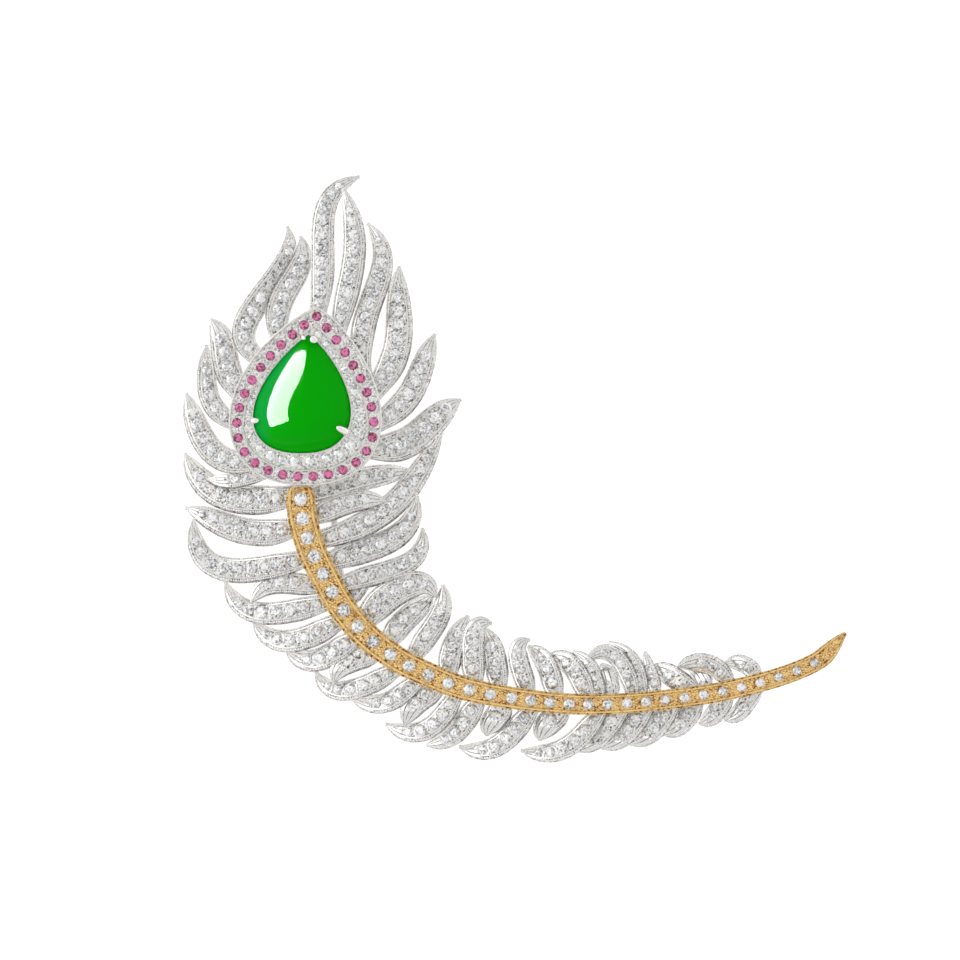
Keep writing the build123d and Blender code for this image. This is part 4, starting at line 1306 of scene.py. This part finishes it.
# %% The claws
Claw = namedtuple("Claw", "turn width reach")
CLAWS = [Claw(22, 1.2, 0.55), Claw(-19, 0.8, 0.25), Claw(130, 0.95, 1.4), Claw(-117, 0.8, 0.8)]
claw_points = np.concatenate([claw_surface(*claw).reshape(-1, 3) for claw in CLAWS])
claw_faces = tube_faces(len(CLAWS), CLAW_STEPS, CLAW_ROUND)
no_tone = np.zeros(len(claw_points))
claws = add_mesh("claws", claw_points, claw_faces, grain_metal, True, tone=no_tone)
frame_pieces.append(claws)
print(len(CLAWS), "claws,", len(claws.data.polygons), "faces")

# %% [markdown]
# ## Stones of the eye and their grains
# Thirty rubies of one size sit in the trench round the eye, and a row of diamonds fills the
# field between them and the jade, as far as there is room. An array along a curve could set the
# rubies. The diamonds differ in size with the field's width, so each is placed in turn, where
# it meets neither its neighbours nor a claw's foot.

# %% The rubies
def upright(places, headings):
    """Axes of stones that stand upright, each turned to a heading in the plan."""
    ahead = np.concatenate([headings, np.zeros((len(headings), 1))], 1)
    left = np.concatenate([left_of(headings), np.zeros((len(headings), 1))], 1)
    return np.stack([ahead, left, np.cross(ahead, left)], 1)


def seated(plan, diameters, face, sink=0.01):
    """Places of stones whose girdle lies a share of their diameter below a face."""
    return np.concatenate([plan, (face - sink * diameters)[:, None]], 1)


ring_line = pear_place(RUBY_RING, np.linspace(0, 360, 121))
ruby_plan, ruby_ahead = walk(ring_line, np.arange(RUBY_COUNT) / RUBY_COUNT)
ruby_sizes = np.full(RUBY_COUNT, RUBY_DIAMETER)
ruby_rows = (seated(ruby_plan, ruby_sizes, HALO_TOP), upright(ruby_plan, ruby_ahead), ruby_sizes)
rubies = add_copies("rubies", STONE, ruby_rows, ruby, seed=3, tones=RUBY_TONES)
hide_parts(*[f"ruby_{number:02d}" for number in range(1, RUBY_COUNT + 1)])
print(rubies.name, "has", len(rubies.data.polygons), "faces")

# %% Room beside the claws
collar_line = pear_place(collar, np.linspace(0, 360, 121))
field_line = pear_place(field, np.linspace(0, 360, 121))
claw_feet = []
for turn in CLAW_TURNS:
    ends = pear_place(JADE, np.array([turn - 2.0, turn, turn + 2.0]))
    claw_feet.append((ends[1], -left_of(ends[2] - ends[0]) / np.linalg.norm(ends[2] - ends[0])))


def near_claw(place, diameter):
    """Whether a stone would come against the foot of a claw."""
    for foot, into in claw_feet:
        out = -(place - foot) @ into
        along = abs((place - foot) @ left_of(into))
        close = 0 < out < CLAW_FOOT + CLEARANCE + diameter / 2
        if close and along < (CLAW_WIDTH + diameter) / 2 + CLEARANCE:
            return True
    return False


print(sum(near_claw(spot, 0.0) for spot in collar_line), "places of the collar are at a claw")

# %% The diamonds round the jade
halo_found = []
for spot in collar_line:
    other = field_line[np.linalg.norm(field_line - spot, axis=1).argmin()]
    room = min(HALO_DIAMOND, np.linalg.norm(other - spot) - 2 * CLEARANCE)
    centre = (spot + other) / 2
    if room < HALO_DIAMOND_LEAST or near_claw(centre, room):
        continue
    ends = halo_found[:1] + halo_found[-1:]
    if any(np.linalg.norm(centre - c) < (room + d) / 2 + HALO_DIAMOND_GAP for c, d, _ in ends):
        continue
    halo_found.append((centre, room, (other - spot) / np.linalg.norm(other - spot)))
halo_plan, halo_sizes, halo_heads = (np.array(column) for column in zip(*halo_found))
halo_places = seated(halo_plan, halo_sizes, HALO_TOP)
halo_rows_kept = (halo_places, upright(halo_plan, halo_heads), halo_sizes)
halo_diamonds = add_copies("halo_diamonds_cut", STONE, halo_rows_kept, diamond, seed=4)
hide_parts("halo_diamonds")
print(len(halo_plan), "diamonds, the largest", round(halo_sizes.max(), 2), "mm wide")


# %% The eye's grains
def hex_grid(low, high, pitch):
    """Places in the plan in rows, each shifted half a pitch beside the last."""
    rows_up = np.arange(low[1], high[1], pitch * ROW_PITCH)
    columns = np.arange(low[0], high[0], pitch)
    x, y = np.meshgrid(columns, rows_up)
    x = x + pitch / 2 * (np.arange(len(rows_up)) % 2)[:, None]
    return np.stack([x.ravel(), y.ravel()], 1)


def between(places, outer, within):
    """Whether places lie inside one pear and outside another, a little off both."""
    held = inside(pear_place(pear_inset(outer, RIM_MARGIN), turns), places)
    return held & ~inside(pear_place(pear_inset(within, -RIM_MARGIN), turns), places)


RIM_MARGIN = 0.12
spots = hex_grid(halo_edge.min(0), halo_edge.max(0), GRAIN_PITCH)
trench = between(spots, pear_inset(HALO, HALO_RIM), inner)
bed = between(spots, field, collar)
free = clear_of(spots, ruby_plan, ruby_sizes, GRAIN_GAP)
free &= clear_of(spots, halo_plan, halo_sizes, GRAIN_GAP)
clear_of_claws = np.array([not near_claw(spot, 0.1) for spot in spots])
spots = spots[(trench | bed) & free & clear_of_claws]
headings = np.broadcast_to([[1.0, 0.0]], spots.shape)
grain_sizes = np.full(len(spots), GRAIN_SIZE)
eye_rows = (seated(spots, grain_sizes, HALO_TOP, sink=0.0), upright(spots, headings), grain_sizes)
eye_rows = by_hand(eye_rows, seed=8)
frame_pieces.append(add_copies("eye_grains", GRAIN, eye_rows, grain_metal, 0.9))
print(len(spots), "grains round the eye's stones")

# %% [markdown]
# ## The bar and the quill
# Under the feather runs a bar of white gold that holds all barbs, and on it the yellow gold
# quill, a channel between two rails with a low ledge outside them. A curve's bevel keeps one
# profile, and this one gets narrower, lower and less deep towards the tail. So the profile is
# worked out for each place, with its middle at 0, and carried along the line.

# %% A profile along a line
def carry(profile_u, profile_z, shares, line):
    """Places of a profile along a line: u to the left, z up, one row for each share."""
    place, ahead = walk(line, shares)
    plan = place[:, None] + profile_u[..., None] * left_of(ahead)[:, None]
    return np.concatenate([plan, profile_z[..., None]], 2)


def add_carried(name, grid, tone, material):
    """A carried profile as one closed piece."""
    faces = tube_faces(1, *grid.shape[:2])
    tone = np.broadcast_to(tone, grid.shape[:2]).ravel()
    zero = np.zeros(len(tone))
    layers = {"tone": tone, "across": zero, "engraved": zero}
    return add_mesh(name, grid.reshape(-1, 3), faces, material, True, **layers)


head_place, head_ahead = walk(quill_line, np.array([0.0]))
bar_line = np.concatenate([head_place - SPINE_IN_HALO * head_ahead, quill_line])
print("the bar's line is", round(length_of(bar_line), 1), "mm long")

# %% The bar
shares = np.linspace(0, SPINE_END, 90)
bar_shares = (shares * length_of(quill_line) + SPINE_IN_HALO) / length_of(bar_line)
bar_shares[0] = 0.0
half = SPINE_WIDTH * quill_width(shares)[:, None] / 2
top = spine_top(shares)[:, None]
floor_z = top - SPINE_DEPTH + (SPINE_DEPTH - SPINE_TAIL_DEPTH) * shares[:, None]
BAR_FLAT = 0.85  # width of its underside beside its own
BAR_CHAMFER = 0.15
foot_z = floor_z + BAR_CHAMFER
bar_u = half * np.array([1, 1, BAR_FLAT, -BAR_FLAT, -1, -1])
bar_z = np.concatenate([top, foot_z, floor_z, floor_z, foot_z, top], 1)
# A little painted shade in random cells on its top and sides; under 0, its smooth underside
bar_tone = [0.3, 0.3, -0.5, -0.5, 0.3, 0.3]
bar_grid = carry(bar_u, bar_z, bar_shares, bar_line)[:, ::-1]
bar = add_carried("spine_bar", bar_grid, bar_tone, white_gold)
frame_pieces.append(bar)
for piece in frame_pieces:
    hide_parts("frame")
print(len(frame_pieces), "pieces take the place of the frame")

# %% Sizes of the quill along its length
HEAD_ROUNDED = 0.02  # the head is rounded over this share of the length
HEAD_NARROWING = 0.3
HEAD_CLOSED = 0.006  # the channel starts at this share
TIP_POWER = 1.6  # over 1, the quill narrows more and more towards its point


def quill_sizes(share):
    """Underside, height, width and the scale of the small sizes at shares of the length. The
    head is rounded. Past the channel's end in the solid, the quill narrows and gets lower to
    its point."""
    past = np.clip((share - QUILL_CHANNEL_END) / (1 - QUILL_CHANNEL_END), 0, 1)
    to_head = np.clip(1 - share / HEAD_ROUNDED, 0, 1)
    width = quill_width(share) * (1 - HEAD_NARROWING * to_head**2)
    width = width + past**TIP_POWER * (QUILL_TIP_WIDTH - width)
    height = QUILL_HEIGHT + (QUILL_TAIL_HEIGHT - QUILL_HEIGHT) * share - past * QUILL_LEDGE_DROP
    return spine_top(share) + CLEARANCE, height, width, width / QUILL_WIDTH


print("the quill's tip is", round(float(quill_sizes(1.0)[2]), 2), "mm wide")

# %% The quill
SHORT_OF_END = 0.9998  # the last profile stays inside the solid's end
SOFT_EDGE = 0.06  # width of the rounding along the rails
shares = np.linspace(0, SHORT_OF_END, 280)
base_z, height, width, scale = (a[:, None] for a in quill_sizes(shares))
rail_out = width / 2 - QUILL_LEDGE * scale
rail_in = rail_out - QUILL_RAIL * scale
ledge = base_z + height - QUILL_LEDGE_DROP * np.minimum(1, scale * 2)
crest_z = base_z + height
soft = SOFT_EDGE * scale
sunk = np.minimum(1, scale * 2) * smoothly(shares[:, None] / HEAD_CLOSED - 0.5)
channel_z = crest_z - QUILL_CHANNEL * sunk
# Half the profile from its foot to its middle: the wall, the ledge, the rail and the channel.
# Its tones are painted shade, darkest on the ledge and in the channel.
half_u = [width / 2, width / 2, width / 2 - soft, rail_out, rail_out, rail_out - soft]
half_z = [base_z, ledge - soft, ledge, ledge, crest_z - soft, crest_z]
half_tone = [0.3, 0.5, 0.9, 1.0, 0.9, 0.25]
half_u += [rail_in + soft, rail_in, rail_in, rail_in * 0.4]
half_z += [crest_z, crest_z - soft, channel_z, channel_z]
half_tone += [0.3, 0.5, 1.0, 0.9]
quill_u = np.concatenate(half_u + [-u for u in reversed(half_u)], 1)
quill_z = np.concatenate(half_z + half_z[::-1], 1)
quill_tone = np.array(half_tone + half_tone[::-1])
quill_grid = carry(quill_u, quill_z, shares, quill_line)[:, ::-1]
quill = add_carried("quill_channel", quill_grid, quill_tone[::-1], yellow_gold)
print("the quill has", len(quill.data.polygons), "faces")

# %% The quill's diamonds
run_counts, run_gaps = zip(*QUILL_DIAMONDS)
shares = np.cumsum(np.repeat(run_gaps, run_counts))
plan, ahead = walk(quill_line, shares)
sizes = HEAD_DIAMOND + (TAIL_DIAMOND - HEAD_DIAMOND) * shares
base_z, height, width, scale = quill_sizes(shares)
stone_rows = (seated(plan, sizes, base_z + height - QUILL_CHANNEL), upright(plan, ahead), sizes)
quill_diamonds = add_copies("quill_diamonds_cut", STONE, stone_rows, diamond, seed=5)
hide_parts("quill_diamonds")
print(len(shares), "diamonds on the quill")

# %% [markdown]
# ## Grains of the quill
# Between its diamonds the channel is full of raised grains, milgrain runs along both rails, and
# two round beads of gold close the row before the tip. A bump pattern could hint at them, but
# they break the outline of the rails, so all are copies of the one small grain, each with its
# place on the line.

# %% Places beside the quill's line
def beside_quill(shares, u, z, size):
    """Grains beside the quill's line at shares of its length."""
    plan, ahead = walk(quill_line, shares)
    plan = plan + u[:, None] * left_of(ahead)
    return np.concatenate([plan, z[:, None]], 1), upright(plan, ahead), size


reach = length_of(quill_line)
print("a millimetre is", round(1 / reach, 4), "of the quill")

# %% The quill's grains
GOLD_GRAIN, GOLD_PITCH = 0.36, 0.34
GOLD_START, GOLD_END = 0.3, 0.985  # from so far on, to this share of the length
BEADS, BEAD_SIZES, BEAD_SINK = np.array([0.967, 0.981]), np.array([0.6, 0.5]), 0.2
RAIL_GRAIN, RAIL_PITCH, RAIL_SINK = 0.27, 0.29, 0.02
RAIL_END = 0.992
ON_RAIL = 0.4  # the milgrain lies so far in from the rail's outer edge, in rails' widths

channel = QUILL_WIDTH / 2 - QUILL_LEDGE - QUILL_RAIL - RIM_MARGIN


def channel_half(part):
    """Half the room between the rails at a share of the grains' bed."""
    return channel * quill_sizes(part * GOLD_END)[3]


bed = brick_rows(reach * GOLD_END, channel_half, GOLD_PITCH, GOLD_START)
at = bed[:, 0] / reach
base_z, height, _, _ = quill_sizes(at)
spots, axes, _ = beside_quill(at, bed[:, 1], base_z + height - QUILL_CHANNEL, 0.0)
free = clear_of(spots, plan, sizes, GRAIN_GAP)
in_channel = (spots[free], axes[free], np.full(free.sum(), GOLD_GRAIN))
gold_grains = [by_hand(in_channel, seed=9, shift=0.06, spread=0.3)]
base_z, height, _, _ = quill_sizes(BEADS)
gold_grains.append(beside_quill(BEADS, 0 * BEADS, base_z + height - BEAD_SINK, BEAD_SIZES))
count = int(reach / RAIL_PITCH)
at = (np.arange(count) + 0.5) / count * RAIL_END
base_z, height, width, scale = quill_sizes(at)
rail_sizes = RAIL_GRAIN * np.sqrt(np.sqrt(scale))
for side in (-1, 1):
    u = side * (width / 2 - (QUILL_LEDGE + QUILL_RAIL * ON_RAIL) * scale)
    gold_grains.append(beside_quill(at, u, base_z + height - RAIL_SINK, rail_sizes))
gold_rows = tuple(np.concatenate([row[k] for row in gold_grains]) for k in range(3))
quill_grains = add_copies("quill_grains", GRAIN, gold_rows, yellow_gold, 0.7, seed=6)
for piece in (quill, quill_grains):
    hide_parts("quill")
print(len(gold_rows[0]), "grains on the quill")

# %% [markdown]
# ## The pin
# Behind the brooch a straight pin on two posts holds it to cloth. It doesn't show from the
# front, so a new surface for it would be work for nothing: it keeps the frame's own shape and
# gets white gold with a brushed finish, a little rougher and duller than the front.

# %% The pin
BRUSHED, BRUSHED_DARK = (0.8, 0.79, 0.77), (0.6, 0.59, 0.57)
BRUSH_MARKS = 3000.0  # a metre


def brushed_look(place, carried):
    """Duller than the front, with a roughness that changes in fine marks."""
    return {
        "Base Color": place.noise(CLOUDS).blend(BRUSHED, BRUSHED_DARK),
        "Roughness": 0.22 + place.noise(BRUSH_MARKS) * 0.15,
    }


pin = frame["nodes"]["pin_fitting"]
brushed = new_material("white_gold_brushed", METAL, brushed_look)
for slot_at in range(len(pin.data.materials)):
    pin.data.materials[slot_at] = brushed
print(pin.name, "has", len(pin.data.materials), "material")

# %% [markdown]
# ## Floor, light and camera
# The brooch lies on pale paper in soft light from all sides. A window beside it gives the metal
# its direction, and a strip light gives the jade alone its bright curved band. One lamp could
# do both, but the band and the metal's brightness are easier to set apart. The camera looks
# straight down with a long lens.

# %% Floor and world
FLOOR_HALF = 2  # metres
PAPER_CLOUDS, PAPER_FIBRES = 30.0, 80.0  # a metre
PAPER_GLOW = 0.85  # light of its own, which keeps the paper pale under the brooch


def paper_look(place, carried):
    """Almost even paper: its colour and its glow change a little in wide clouds."""
    cloud = place.noise(PAPER_CLOUDS)
    return {
        "Base Color": cloud.blend((0.3, 0.3, 0.3), (0.28, 0.28, 0.28)),
        "Roughness": 0.6 + place.noise(PAPER_FIBRES) * 0.1,
        "Emission Color": cloud.blend((1.0, 1.0, 1.0), (0.98, 0.98, 0.98)),
    }


floor_mesh = bpy.data.meshes.new("floor")
corners = [(FLOOR_HALF * x, FLOOR_HALF * y, 0) for x, y in ((-1, -1), (1, -1), (1, 1), (-1, 1))]
floor_mesh.from_pydata(corners, [], [(0, 1, 2, 3)])
pale_paper = new_material("pale_paper", {"Emission Strength": PAPER_GLOW}, paper_look)
floor_mesh.materials.append(pale_paper)
floor = bpy.data.objects.new("floor", floor_mesh)
bpy.context.scene.collection.objects.link(floor)

WORLD_GREY = (0.8, 0.8, 0.8, 1)
world = bpy.data.worlds.new("studio")
world.use_nodes = True
world.node_tree.nodes["Background"].inputs["Color"].default_value = WORLD_GREY
world.node_tree.nodes["Background"].inputs["Strength"].default_value = 1.0
bpy.context.scene.world = world
print("floor", 2 * FLOOR_HALF, "m wide, world", world.name)


# %% Lights
def add_light(name, place, aim, roll, size, power):
    """A rectangular light at a place, turned to shine at another and rolled about its beam."""
    light = bpy.data.lights.new(name, "AREA")
    light.shape = "RECTANGLE"
    light.size, light.size_y = size
    light.energy = power
    lamp = bpy.data.objects.new(name, light)
    lamp.location = place
    lamp.rotation_euler = (Vector(aim) - Vector(place)).to_track_quat("-Z", "Y").to_euler()
    lamp.rotation_euler.rotate_axis("Z", roll)
    lamp.visible_camera = False
    bpy.context.scene.collection.objects.link(lamp)
    return lamp


# Places and aims in metres, rolls in radians, sizes in metres and powers in watts
WINDOW, WINDOW_AIM = Vector((-0.71, 0.169, 0.441)), Vector((-0.065, -0.224, 0.008))
WINDOW_ROLL, WINDOW_SIZE, WINDOW_POWER = 0.17, (1.195, 0.779), 2.0
STRIP, STRIP_AIM = Vector((-0.5415, 0.282, 0.323)), Vector((-0.078, 0.279, 0.008))
STRIP_ROLL, STRIP_SIZE, STRIP_POWER = 0.16, (1.102, 0.566), 310.0
add_light("window", WINDOW, WINDOW_AIM, WINDOW_ROLL, WINDOW_SIZE, WINDOW_POWER)
strip = add_light("jade_strip", STRIP, STRIP_AIM, STRIP_ROLL, STRIP_SIZE, STRIP_POWER)
strip.visible_diffuse = False
jade_only = bpy.data.collections.new("jade_only")
jade_only.objects.link(jade_piece)
strip.light_linking.receiver_collection = jade_only

# %% Camera
PICTURE = 120.0  # width of what the camera sees, in millimetres
CAMERA_HEIGHT = 0.8
LENS_SENSOR = 36.0

camera_data = bpy.data.cameras.new("camera")
camera_data.sensor_width = LENS_SENSOR
camera_data.lens = LENS_SENSOR * (CAMERA_HEIGHT - SPINE_TOP * MM) / (PICTURE * MM)
camera_data.clip_start = 0.01
camera = bpy.data.objects.new("camera", camera_data)
centre = (np.array([PICTURE / 2, PICTURE / 2]) + shift) * MM
camera.location = (centre[0], centre[1], CAMERA_HEIGHT)
bpy.context.scene.collection.objects.link(camera)
bpy.context.scene.camera = camera
bpy.context.scene.view_settings.view_transform = "Standard"
print("a lens of", round(camera_data.lens), "mm from", CAMERA_HEIGHT, "m")

# %% Size
total = sum(len(o.data.polygons) for o in bpy.data.objects if o.type == "MESH")
print("faces in all", total)
